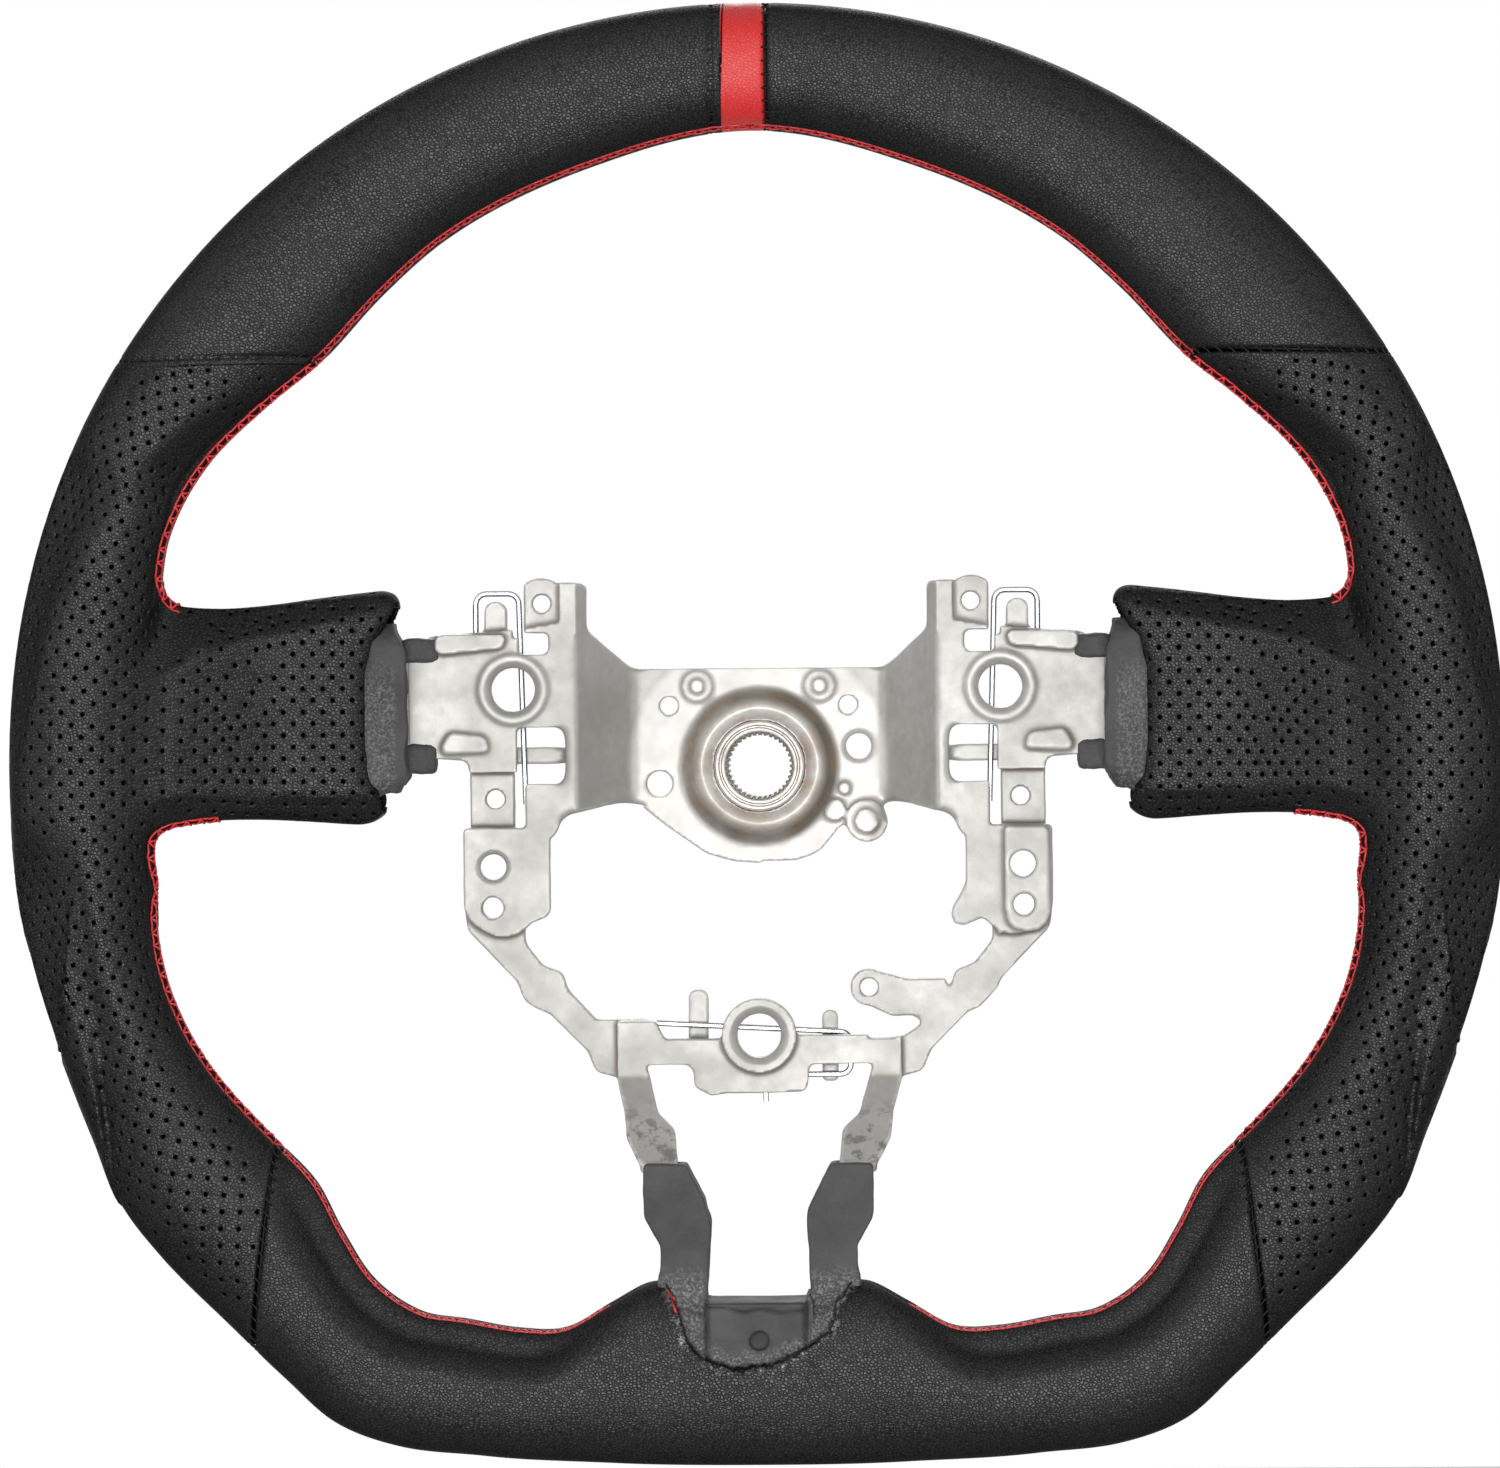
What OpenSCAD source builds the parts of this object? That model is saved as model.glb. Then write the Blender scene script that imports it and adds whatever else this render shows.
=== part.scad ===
// Leather-wrapped flat-bottom steering wheel with a bare cast centre frame.
// Millimetres. +Z points to 12 o'clock, -Y towards the driver, +X to the driver's right.
// The origin lies on the column axis, on the seat of the column nut. The modules are drawn from the
// front face of the hub plate, and from_plate() moves each piece to the origin.

/* [Rim] */
// Outside width of the rim at 3 and 9 o'clock
rim_w = 365; // [330:5:400]
// Depth of the rim section, front to back, at 12 o'clock
rim_depth = 31; // [26:1:38]
// Distance from the hub plate's front face forward to the middle of the rim
rim_dish = 38; // [32:1:46]
// Thickness of the leather
leather_t = 1.4; // [1:0.1:2]
// Clearance between the leather and the foam under it
glue_gap = 0.5; // [0.4:0.1:0.8]
// Width of the groove between two sewn leather panels
seam_gap = 1.8; // [1.6:0.1:2.4]
// Diameter of the sewing thread
thread_d = 0.9; // [0.7:0.1:1]
// Width of the coloured band at 12 o'clock
band_w = 13; // [8:1:40]
// Sideways offset of the band's middle from the column axis
band_shift = -2.6; // [-6:0.2:6]

/* [Spokes] */
// Where the spoke leather ends, measured from the column axis
spoke_end_x = 88; // [84:1:96]
// Upper edge of the spoke leather
spoke_top_z = 42.5; // [36:0.5:48]
// Lower edge of the spoke leather
spoke_low_z = -11.5; // [-18:0.5:-6]
// Thickness of the spoke leather sleeve at its end
spoke_depth = 25; // [20:1:32]

/* [Frame] */
// Wall thickness of the casting
plate_t = 4; // [3:0.5:6]
// Distance from the hub plate's front face forward to the airbag pads' front face
pad_drop = 22; // [14:1:28]
// Half width of the flat hub plate
hub_half_w = 31.5; // [28:0.5:36]
// Where the sloped wall meets the pad, from the column axis
pad_x = 44.5; // [42:0.5:46]
// Diameter of the rod that stiffens the rim
core_d = 11; // [8:0.5:14]
// Clearance between the rod and the sockets that it is cast into
core_gap = 0.2; // [0.1:0.1:0.4]
// Clearance between the casting and the foam moulded on it
mould_gap = 0.3; // [0.2:0.1:0.5]

/* [Hub] */
// Diameter of the column bore inside its splines
bore_d = 15.4; // [14:0.2:18]
// Number of spline grooves
spline_n = 36; // [24:1:48]
// Depth of a spline groove
spline_h = 0.6; // [0.4:0.1:1]
// Outside diameter of the steel bushing
bushing_d = 23; // [20:1:26]
// Length of the steel bushing
bushing_l = 20; // [16:1:30]
// Depth from the hub plate's front face to the nut seat
seat_y = 5; // [4:0.5:8]

/* [Airbag fixing] */
// Sideways distance of each upper pin hole from the column axis
pin_x = 60.2; // [58:0.2:64]
// Height of the upper pin holes above the column axis
pin_z = 19.4; // [18:0.2:22]
// Height of the lower pin hole below the column axis
low_pin_z = 66.4; // [64:0.2:70]
// Diameter of the airbag pin holes
pin_hole_d = 10.8; // [8:0.2:12]
// Diameter of the retaining spring wire
wire_d = 1.5; // [1.2:0.1:2]
// Clearance between the spring wire and the casting in front of it
wire_gap = 0.35; // [0.3:0.05:0.6]

/* [Screw holes] */
// Radius of the screw hole in each upper tab
tab_hole_r = 2.2; // [1.5:0.1:3]
// Radius of the hole in each recessed side plate
side_hole_r = 2.3; // [1.5:0.1:3]
// Radius of the upper hole in each side block
block_hole_r = 3.2; // [2:0.1:4]
// Radius of the lower hole in each side block
block_low_hole_r = 2.7; // [2:0.1:3.4]
// Radius of the large holes in the hub plate
hub_big_hole_r = 3.2; // [2:0.1:4]
// Radius of the small holes in the hub plate
hub_small_hole_r = 2.3; // [1.5:0.1:3]

/* [Hidden] */
$fn = 48;

// ---- rim outline: each pair is [angle from 12 o'clock, length] ----
rim_r = rim_w / 2;
// how far the outline stands outside a circle of radius rim_r
OUTER = [[0, 4], [30, 3.5], [60, 2], [90, 0.1], [105, 0.8], [112, 1.3], [119, 3.1], [124, 6], [129, 5.9],
         [136, 5], [142, 6.1], [147, 7.8], [152, 4.9], [158, -1.5], [168, -8.9], [180, -12]];
// how far the inner edge lies inside that circle
INNER = [[0, 27], [15, 30.5], [30, 33], [38, 35.5], [46, 37.3], [53, 34], [61, 29.3], [68, 28.3], [74, 31],
         [82, 33], [92, 33.5], [100, 32.7], [107, 29.8], [112, 29.1], [118, 30.1], [128, 34.1], [133, 34.7],
         [138, 30.5], [143, 26.3], [148, 26.3], [152, 30.2], [157, 33.9], [161, 38.1], [164.5, 47], [168, 54],
         [172, 55], [180, 54]];
// how much the section's half depth differs from the one at 12 o'clock
DEPTH = [[0, 0], [45, 0], [70, 1], [110, 1], [135, 0.5], [160, -1], [180, -2]];
section_n = 16;
section_power = 0.84;

// ---- depth levels ----
rim_y = -rim_dish;
pad_y = -pad_drop;
pad_back_y = pad_y + plate_t;
side_plate_y = pad_y + 4.5;
strut_y = pad_y + 2.5;
fold = atan2(pad_drop, pad_x - hub_half_w);
fold_k = tan(fold / 2);
core_r = core_d / 2;
core_ring_r = rim_r - 15.5;
core_ring_z = 4;
socket_wall = 3;
foot_x = 15;
foot_l = 18;

// ---- places of the legs and of the foam bridge at 6 o'clock ----
bar_top_z = -62.3;
bar_low_z = -73.5;
bridge_top_z = -(rim_r - 54);
bridge_half_w = 13;
leather_cut_z = bridge_top_z - 17.5;
foam_share = 0.58;
leg_foam_z = bridge_top_z + foam_share * (bar_low_z - bridge_top_z);
core_low_z = -(rim_r - 29.5);

// ---- spring wire ----
wire_r = wire_d / 2;
wire_y = pad_back_y + wire_gap + wire_r;
wire_stop_y = wire_y + wire_r + wire_gap;
wire_bend = 2.6;
loop_x0 = pin_x - 1.4;
loop_x1 = pin_x + 9.3;
loop_top_z = 43.2;
low_loop_x = 22.6;

// ---- small helpers ----
function unit(v) = v / norm(v);
function turn(a, b) = let (d = b - a) d > 180 ? d - 360 : (d < -180 ? d + 360 : d);
// value of a key list at angle p, smooth between the keys
function key_at(keys, p, i = 0) =
    i >= len(keys) - 2 || p < keys[i + 1][0]
    ? let (a = keys[max(i - 1, 0)], b = keys[i], c = keys[i + 1], d = keys[min(i + 2, len(keys) - 1)],
           w = c[0] - b[0], t = (p - b[0]) / w,
           m0 = i == 0 ? 0 : (c[1] - a[1]) / (c[0] - a[0]) * w,
           m1 = i >= len(keys) - 2 ? 0 : (d[1] - b[1]) / (d[0] - b[0]) * w)
      (2 * t * t * t - 3 * t * t + 1) * b[1] + (t * t * t - 2 * t * t + t) * m0
      + (3 * t * t - 2 * t * t * t) * c[1] + (t * t * t - t * t) * m1
    : key_at(keys, p, i + 1);
function from_top(p) = p > 180 ? 360 - p : abs(p);
function rim_out(p) = rim_r + key_at(OUTER, from_top(p));
function rim_in(p) = rim_r - key_at(INNER, from_top(p));
function rim_half_depth(p) = rim_depth / 2 + key_at(DEPTH, from_top(p));
function soft(v) = sign(v) * pow(abs(v), section_power);

// a closed outline with each corner [x, z, radius] rounded by an arc
function corner_arc(a, b, c, r, n = 4) =
    let (u = unit(a - b), v = unit(c - b), half = acos(u * v) / 2, reach = r / tan(half),
         mid = b + unit(u + v) * r / sin(half), p = b + u * reach - mid, q = b + v * reach - mid,
         a0 = atan2(p[1], p[0]), sweep = turn(a0, atan2(q[1], q[0])))
    [for (i = [0:n]) mid + r * [cos(a0 + sweep * i / n), sin(a0 + sweep * i / n)]];
function rounded(pts) =
    let (n = len(pts))
    [for (i = [0:n - 1])
        let (a = pts[(i + n - 1) % n], b = pts[i], c = pts[(i + 1) % n])
        each b[2] > 0 ? corner_arc([a[0], a[1]], [b[0], b[1]], [c[0], c[1]], b[2]) : [[b[0], b[1]]]];
function box_outline(x0, x1, z0, z1, r) = rounded([[x0, z0, r], [x1, z0, r], [x1, z1, r], [x0, z1, r]]);
function flip(pts) = [for (i = [len(pts) - 1:-1:0]) [-pts[i][0], pts[i][1]]];

// extrude an outline drawn in X and Z from y0 back to y1
module slab(y0, y1) {
    translate([0, y1, 0]) rotate([90, 0, 0]) linear_extrude(y1 - y0) children();
}
module drill(x, z, r, y0, y1) {
    translate([x, y0, z]) rotate([-90, 0, 0]) cylinder(r = r, h = y1 - y0);
}
module cone(x, z, r0, r1, y0, y1) {
    translate([x, y0, z]) rotate([-90, 0, 0]) cylinder(r1 = r0, r2 = r1, h = y1 - y0);
}
module both_sides() {
    children();
    mirror([1, 0, 0]) children();
}

// a tube along a path; "side" is the direction that stays across the path
module tube(path, r, n = 8, side = [0, 1, 0], closed = false) {
    m = len(path);
    rings = [for (i = [0:m - 1])
        let (before = closed ? path[(i + m - 1) % m] : path[max(i - 1, 0)],
             after = closed ? path[(i + 1) % m] : path[min(i + 1, m - 1)],
             t = unit(after - before), b = unit(side - (side * t) * t), c = cross(t, b))
        [for (k = [0:n - 1]) path[i] + r * (cos(360 * (k + 0.5) / n) * c + sin(360 * (k + 0.5) / n) * b)]];
    span = closed ? m : m - 1;
    faces = concat(
        [for (i = [0:span - 1], k = [0:n - 1])
            let (a = i * n, b = ((i + 1) % m) * n, l = (k + 1) % n)
            each [[a + k, b + l, b + k], [a + k, a + l, b + l]]],
        closed ? [] : [[for (k = [n - 1:-1:0]) k], [for (k = [0:n - 1]) (m - 1) * n + k]]);
    polyhedron([for (ring = rings) each ring], faces);
}

// ---- rim surface ----
// distance of a surface point from the column axis, and its depth
function section_rho(p, u, inset) =
    (rim_out(p) + rim_in(p)) / 2 + ((rim_out(p) - rim_in(p)) / 2 - inset) * soft(cos(u));
function section_y(p, u, inset) = rim_y + (rim_half_depth(p) - inset) * soft(sin(u));
function polar(rho, p, y) = [rho * sin(p), y, rho * cos(p)];

// A seam is a straight line across the rim: [side, angle of its normal, distance, sense]
BAND_LEFT = [-1, 90, -(band_shift - band_w / 2), -1];
BAND_RIGHT = [1, 90, band_shift + band_w / 2, -1];
upper_seam_z = 0.548 * rim_r;
lower_seam_d = 0.5655 * rim_r;
function upper_seam(side) = [side, 0, upper_seam_z, 1];
function lower_seam(side) = [side, 82.1, lower_seam_d, 1];
// the angle at which the seam, moved by "shift" towards 6 o'clock, crosses radius rho
function seam_angle(s, rho, shift) = s[0] * (s[1] + s[3] * acos((s[2] - s[3] * s[0] * shift) / rho));
function seam_solve(s, u, inset, shift, p = 50, n = 4) =
    n == 0 ? p : seam_solve(s, u, inset, shift, seam_angle(s, section_rho(p, u, inset), shift), n - 1);

// a piece of the rim from seam a clockwise to seam b, as a closed tube of leather
function panel_grid(a, sa, b, sb, inset, n) =
    [for (i = [0:n], k = [0:section_n - 1])
        let (u = 360 * k / section_n, lap = a[0] > b[0] ? 360 : 0,
             p0 = seam_solve(a, u, inset, sa), p1 = seam_solve(b, u, inset, sb) + lap,
             p = p0 + (p1 - p0) * i / n)
        polar(section_rho(p, u, inset), p, section_y(p, u, inset))];
function grid_faces(rows, n, base, inward) =
    [for (i = [0:rows - 1], k = [0:n - 1])
        let (l = (k + 1) % n, a = base + i * n + k, b = base + i * n + l, c = a + n, d = b + n)
        each inward ? [[a, c, b], [b, c, d]] : [[a, b, c], [b, d, c]]];
module panel(a, sa, b, sb, rows) {
    n = section_n;
    count = (rows + 1) * n;
    points = concat(panel_grid(a, sa, b, sb, 0, rows), panel_grid(a, sa, b, sb, leather_t, rows));
    ends = [for (k = [0:n - 1])
        let (l = (k + 1) % n, e = rows * n)
        each [[k, count + k, l], [l, count + k, count + l],
              [e + k, e + l, count + e + k], [e + l, count + e + l, count + e + k]]];
    polyhedron(points, concat(grid_faces(rows, n, 0, false), grid_faces(rows, n, count, true), ends));
}
module panel_solid(a, sa, b, sb, rows, inset) {
    n = section_n;
    polyhedron(panel_grid(a, sa, b, sb, inset, rows),
        concat(grid_faces(rows, n, 0, false),
               [[for (k = [n - 1:-1:0]) k]], [[for (k = [0:n - 1]) rows * n + k]]));
}
// number of rows or steps that keeps them as long on a wider rim
function rows_for(n) = ceil(n * max(1, rim_w / 365));
// angles of the foam's rings, closer together where the inner edge waves
waved_rows = rows_for(24);
plain_rows = rows_for(48);
ring_angles = concat(
    [for (i = [0:waved_rows - 1]) -180 + i * 60 / waved_rows],
    [for (i = [0:plain_rows - 1]) -120 + i * 240 / plain_rows],
    [for (i = [0:waved_rows - 1]) 120 + i * 60 / waved_rows]);
module rim_ring(inset) {
    n = section_n;
    rows = len(ring_angles);
    polyhedron(
        [for (p = ring_angles, k = [0:n - 1])
            let (u = 360 * k / n) polar(section_rho(p, u, inset), p, section_y(p, u, inset))],
        [for (i = [0:rows - 1], k = [0:n - 1])
            let (j = (i + 1) % rows, l = (k + 1) % n)
            each [[i * n + k, i * n + l, j * n + k], [i * n + l, j * n + l, j * n + k]]]);
}

// ---- spoke sleeve ----
// each slice is [x, lowest z, highest z, front y, back y]
spoke_front_y = pad_y - 13;
spoke_back_y = spoke_front_y + spoke_depth;
SPOKE = [
    [spoke_end_x, spoke_low_z, spoke_top_z, spoke_front_y, spoke_back_y],
    [rim_r - 66, spoke_low_z, spoke_top_z - 0.5, spoke_front_y - 2, spoke_back_y - 1],
    [rim_r - 50, spoke_low_z - 1, spoke_top_z + 1, rim_y - 4, spoke_back_y - 3],
    [rim_r - 40, spoke_low_z - 5, spoke_top_z + 6, rim_y - 8, rim_y + 18],
    [rim_r - 31, spoke_low_z - 14, spoke_top_z + 14, rim_y - 10, rim_y + 14]
];
module spoke_slice(s, inset, x) {
    r = 9 - inset;
    translate([x - 0.05, 0, 0]) rotate([90, 0, 90]) linear_extrude(0.1)
        polygon(box_outline(s[3] + inset, s[4] - inset, s[1] + inset, s[2] - inset, r));
}
module spoke(inset, end_x) {
    for (i = [0:len(SPOKE) - 2]) hull() {
        spoke_slice(SPOKE[i], inset, i == 0 ? end_x : SPOKE[i][0]);
        spoke_slice(SPOKE[i + 1], inset, SPOKE[i + 1][0]);
    }
}

// ---- cast frame ----
arm_top_z = 33.5;
arm_low_z = 2.5;
arm_end_x = core_ring_r - 1;
arm_top_end_z = 27;
arm_low_end_z = 6;
tab_x = 53;
tab_z = 40.6;
side_hole_x = 65;
side_hole_z = -7.7;
block_hole_z = -24.4;
block_low_hole_z = -34.5;
block_out_x = 72.8;
wire_slot_x = [57.4, 60.2];

// half of the folded section of the centre plate, seen from above, moved back by t
function plate_line(t) = [
    [0, t], [hub_half_w + t * fold_k, t], [pad_x + t * fold_k, pad_y + t],
    [spoke_end_x + 8, pad_y + t], [arm_end_x, rim_y + t - plate_t / 2]];
module plate_fold() {
    front = plate_line(0);
    back = plate_line(plate_t);
    half = concat(front, [for (i = [len(back) - 1:-1:0]) back[i]]);
    translate([0, 0, -45]) linear_extrude(95) {
        polygon(half);
        polygon(flip(half));
    }
}
// outline of the right half of the centre plate, seen from the front
PLATE = [
    [-0.01, 24.5, 0], [hub_half_w, 24.5, 6], [42.2, 34, 3], [42.2, 45.6, 1.5], [48.6, 46, 0], [48.6, 36, 0],
    [wire_slot_x[0], 34.4, 0], [70, arm_top_z, 0], [80, arm_top_z - 0.6, 2],
    [spoke_end_x + 2, arm_top_end_z, 0], [arm_end_x, arm_top_end_z, 0], [arm_end_x, arm_low_end_z, 0],
    [spoke_end_x + 2, arm_low_end_z, 0], [80, arm_low_z, 2], [71.4, arm_low_z - 0.6, 2], [71.2, -1, 0],
    [wire_slot_x[1], -1, 0], [wire_slot_x[0], -1, 0], [wire_slot_x[0], -16, 0], [51.3, -20, 4],
    [48.2, -12.2, 4], [hub_half_w + 6, -9.4, 6], [hub_half_w - 2.5, -9.4, 4], [12.5, -20.6, 12],
    [-0.01, -24.2, 0]];
module centre_plate() {
    intersection() {
        plate_fold();
        slab(rim_y - 6, plate_t + 1) {
            polygon(rounded(PLATE));
            polygon(flip(rounded(PLATE)));
        }
    }
}
// side block with its two holes, the recessed plate above it and the strut below
BLOCK = [[wire_slot_x[1], -14.6, 0], [block_out_x, -14.6, 1.5], [block_out_x, -37, 7], [62, -44, 8],
         [56, -38.2, 1], [51.3, -36.5, 2.5], [51.3, -15, 0]];
STRUT = [[block_out_x, -32, 0], [block_out_x - 0.6, -40, 5], [60, -52.6, 6], [58, -57.8, 4], [55, -59.6, 4],
         [51.6, -61, 5], [42.6, -70, 6], [40.4, -75.4, 3], [34.6, -77, 3], [27.8, bar_low_z, 0],
         [27.8, bar_top_z, 0],
         [40.4, bar_top_z, 1.5], [47.2, -55, 4], [48.6, -50.6, 3], [53.4, -48.8, 4], [57.8, -43.4, 4],
         [57.8, -32, 0]];
module side_frame() {
    slab(side_plate_y, side_plate_y + plate_t) polygon(box_outline(wire_slot_x[1], 71.2, -16, 4, 0.8));
    slab(pad_y, pad_back_y) polygon(rounded(BLOCK));
    slab(strut_y, strut_y + plate_t) polygon(rounded(STRUT));
    // arm ribs
    slab(pad_y - 2.6, pad_y + 1) polygon(rounded([[62, 29.6, 2], [79.4, 28, 2], [79.4, 33, 2], [62, 33, 1]]));
    slab(pad_y - 1.4, pad_y + 1) polygon(rounded([[66, 4, 1], [79, 3.4, 1.5], [76, 9, 2], [67, 8, 2]]));
    // round tab beside the strip tab, and the lug inside the spring loop
    slab(pad_y + 1, pad_back_y) {
        translate([tab_x, tab_z]) circle(6.4);
        translate([47, arm_top_z - 1]) square([12, 6]);
    }
    slab(pad_y + 2, pad_y + 9)
        polygon(rounded([[61.8, 31, 0], [67.2, 31, 0], [67.2, 41.2, 2.4], [61.8, 41.2, 2.4]]));
    drill(pin_x, pin_z, pin_hole_d / 2 + 3.2, pad_y - 0.8, pad_y + 1);
}
module lower_frame() {
    slab(pad_y, pad_back_y) {
        polygon(rounded([[-35, bar_top_z - 0.4, 0], [-25.6, bar_top_z - 0.4, 1.2], [-23.4, -67.2, 1.2],
            [-10, -67.2, 0], [0, -67, 0], [10, -66.4, 0], [35, -66.4, 0], [35, bar_low_z - 2, 0],
            [30, bar_low_z, 1], [12.4, bar_low_z, 1.5], [11.8, -80.4, 2], [-8, -80.8, 0], [-12, -81.3, 1],
            [-16.2, -79, 2], [-16.2, bar_low_z, 2.5], [-35, bar_low_z, 0]]));
    }
    // two pegs that keep the wire from moving back, and the lugs that join them to the bar
    slab(wire_stop_y, wire_stop_y + 3) {
        polygon(rounded([[-17.6, -70, 0], [-12.6, -70, 0], [-12.6, -55.2, 2.2], [-17.6, -55.2, 2.2]]));
        polygon(rounded([[15.5, -78, 1], [19.5, -78, 1], [19.5, -60.4, 1.8], [15.5, -60.4, 1.8]]));
    }
    slab(pad_back_y - 1, wire_stop_y + 3) {
        polygon(box_outline(-17.6, -12.6, -72, -67.4, 0.5));
        polygon(box_outline(14, 20, -73.2, -68.8, 0.5));
    }
    drill(0, -low_pin_z, pin_hole_d / 2 + 3.8, pad_y - 2, pad_back_y);
    // tab with a screw hole, reaching inwards from the right strut
    slab(strut_y, strut_y + plate_t) {
        polygon(rounded([[27.2, -50.2, 0], [37, -52.8, 2], [46, -52.6, 0], [49, -60, 0], [44, -61.6, 2],
            [33, -62, 3], [27.2, -59.4, 0]]));
        translate([27.2, -54.8]) circle(4.6);
    }
}
// legs from the bar forward and down to the rim
leg_bend_z = bar_low_z - 3;
function leg_y(z) =
    let (share = max(0, (z - leg_foam_z) / (leg_bend_z - leg_foam_z)), foot_y = rim_y - plate_t / 2)
    z > leg_bend_z ? pad_y : foot_y + (pad_y - foot_y) * share;
module leg() {
    low = core_low_z;
    intersection() {
        slab(rim_y - 10, pad_back_y + 2) polygon(rounded([[28, bar_low_z + 1, 0], [35, bar_low_z + 1, 0],
            [35.2, -77, 1], [33, -85, 4], [32.4, -91, 4], [29, leg_foam_z - 0.5, 2],
            [28, low, 0], [18.6, low, 0],
            [19.6, leg_foam_z - 1, 2], [20.6, -89, 3], [24.6, -85.4, 3], [27.6, -75, 2]]));
        rotate([90, 0, 90]) linear_extrude(40) polygon([
            [pad_y, bar_low_z + 2], [pad_y, leg_bend_z],
            [leg_y(leg_foam_z), leg_foam_z], [leg_y(low), low - 1],
            [leg_y(low) + plate_t, low - 1], [leg_y(leg_foam_z) + plate_t, leg_foam_z],
            [pad_back_y, leg_bend_z], [pad_back_y, bar_low_z + 2]]);
    }
    translate([foot_x, rim_y, core_low_z]) rotate([0, 90, 0]) cylinder(r = core_r + socket_wall, h = foot_l);
}
module arm_socket() {
    intersection() {
        translate([0, rim_y, core_ring_z]) rotate([90, 0, 0])
            rotate_extrude($fn = 96) translate([core_ring_r, 0]) circle(core_r + socket_wall);
        translate([core_ring_r - 30, rim_y - 20, arm_low_end_z])
            cube([60, 40, arm_top_end_z - arm_low_end_z]);
    }
}
// turned shape of the hub, as [radius, depth] pairs
bowl_r = 19.3;
bowl_floor_y = seat_y + 3.5;
bowl_wall = 2.4;
module hub_outside() {
    rotate([-90, 0, 0]) rotate_extrude() polygon([
        [0, 0.5], [bowl_r + bowl_wall, 0.5], [bowl_r + bowl_wall, plate_t], [bowl_r - 0.6, plate_t + 8],
        [bushing_d / 2 + 4, seat_y + bushing_l - 1], [0, seat_y + bushing_l - 1]]);
}
module hub_recess() {
    rotate([-90, 0, 0]) rotate_extrude() polygon([
        [0, -1], [bowl_r, -1], [bowl_r, 0.4], [bowl_r - 2.6, 4.5], [bowl_r - 4, bowl_floor_y],
        [bushing_d / 2 + 2, bowl_floor_y - 1], [bushing_d / 2, seat_y], [0, seat_y]]);
}
module hub_bosses() {
    for (x = [-15.3, 15.3]) {
        drill(x, 20, 3.9, -1.2, 1);
        drill(x, 20, 1.7, -2.6, 1);
    }
    drill(21.3, -5.6, 1.6, -4, 1);
    drill(18.8, -11, 2.8, -2.5, 6);
    drill(26.9, -13.8, 5.3, -3, plate_t);
    drill(26.9, -13.8, 3, -4.5, plate_t);
}
module windows() {
    low = pad_y - 4;
    high = pad_back_y + 0.5;
    slab(low, high) polygon(rounded([[51.4, 28, 1.6], [58.8, 28, 1], [58.8, 33.4, 0.8], [51.4, 33.4, 1.2]]));
    slab(low, high) polygon(rounded([[47.6, -4, 1.6], [59.4, -4, 0], [59.4, 10, 1.5], [47.6, 10, 2]]));
    slab(low, high) translate([wire_slot_x[0], 32]) square([wire_slot_x[1] - wire_slot_x[0], 20]);
}
module screw_holes() {
    low = pad_y - 10;
    drill(tab_x, tab_z, tab_hole_r, low, 0);
    drill(side_hole_x, side_hole_z, side_hole_r, low, 0);
    drill(side_hole_x + 0.4, block_hole_z, block_hole_r, low, 0);
    drill(side_hole_x + 0.6, block_low_hole_z, block_low_hole_r, low, 0);
    drill(pin_x, pin_z, pin_hole_d / 2, low, 0);
    cone(pin_x, pin_z, pin_hole_d / 2 + 1.8, pin_hole_d / 2, pad_y - 1, pad_y + 0.8);
    cone(side_hole_x + 0.4, block_hole_z, block_hole_r + 1.1, block_hole_r, pad_y - 0.1, pad_y + 1);
}
module armature() {
    color("#b3afa8") difference() {
        union() {
            centre_plate();
            both_sides() {
                side_frame();
                leg();
                arm_socket();
                // ledge behind the lower window, which keeps the wire from moving back
                slab(wire_stop_y, wire_stop_y + 3)
                    polygon(box_outline(46.6, wire_slot_x[1] + 6, 1, 5.2, 0.5));
                slab(pad_back_y - 1, wire_stop_y + 3) {
                    polygon(box_outline(62.6, wire_slot_x[1] + 6, 1, 5.2, 0.4));
                    polygon(box_outline(44.4, 47.2, 1, 5.2, 0.4));
                }
            }
            lower_frame();
            hub_outside();
            hub_bosses();
        }
        hub_recess();
        both_sides() {
            windows();
            screw_holes();
        }
        // column bushing seat
        rotate([-90, 0, 0]) cylinder(r = bushing_d / 2, h = seat_y + bushing_l + 1);
        // seats of the rim's rod, in the arm sockets and in the feet of the legs
        translate([0, rim_y, core_ring_z]) rotate([90, 0, 0])
            rotate_extrude($fn = 96) translate([core_ring_r, 0]) circle(core_r + core_gap);
        translate([-40, rim_y, core_low_z]) rotate([0, 90, 0]) cylinder(r = core_r + core_gap, h = 80);
        drill(0, -low_pin_z, pin_hole_d / 2, pad_y - 6, 0);
        cone(0, -low_pin_z, pin_hole_d / 2 + 1.8, pin_hole_d / 2, pad_y - 2.1, pad_y - 0.4);
        drill(27.2, -54.8, tab_hole_r, pad_y - 2, 0);
        for (x = [-22.4, 22.4]) drill(x, 15.2, hub_small_hole_r, -2, 8);
        drill(-24.9, -4.3, hub_big_hole_r, -2, 8);
        drill(25, 4.8, hub_big_hole_r, -2, 8);
        cone(25, 4.8, hub_big_hole_r + 1.2, hub_big_hole_r, -0.1, 1.1);
    }
}

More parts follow.
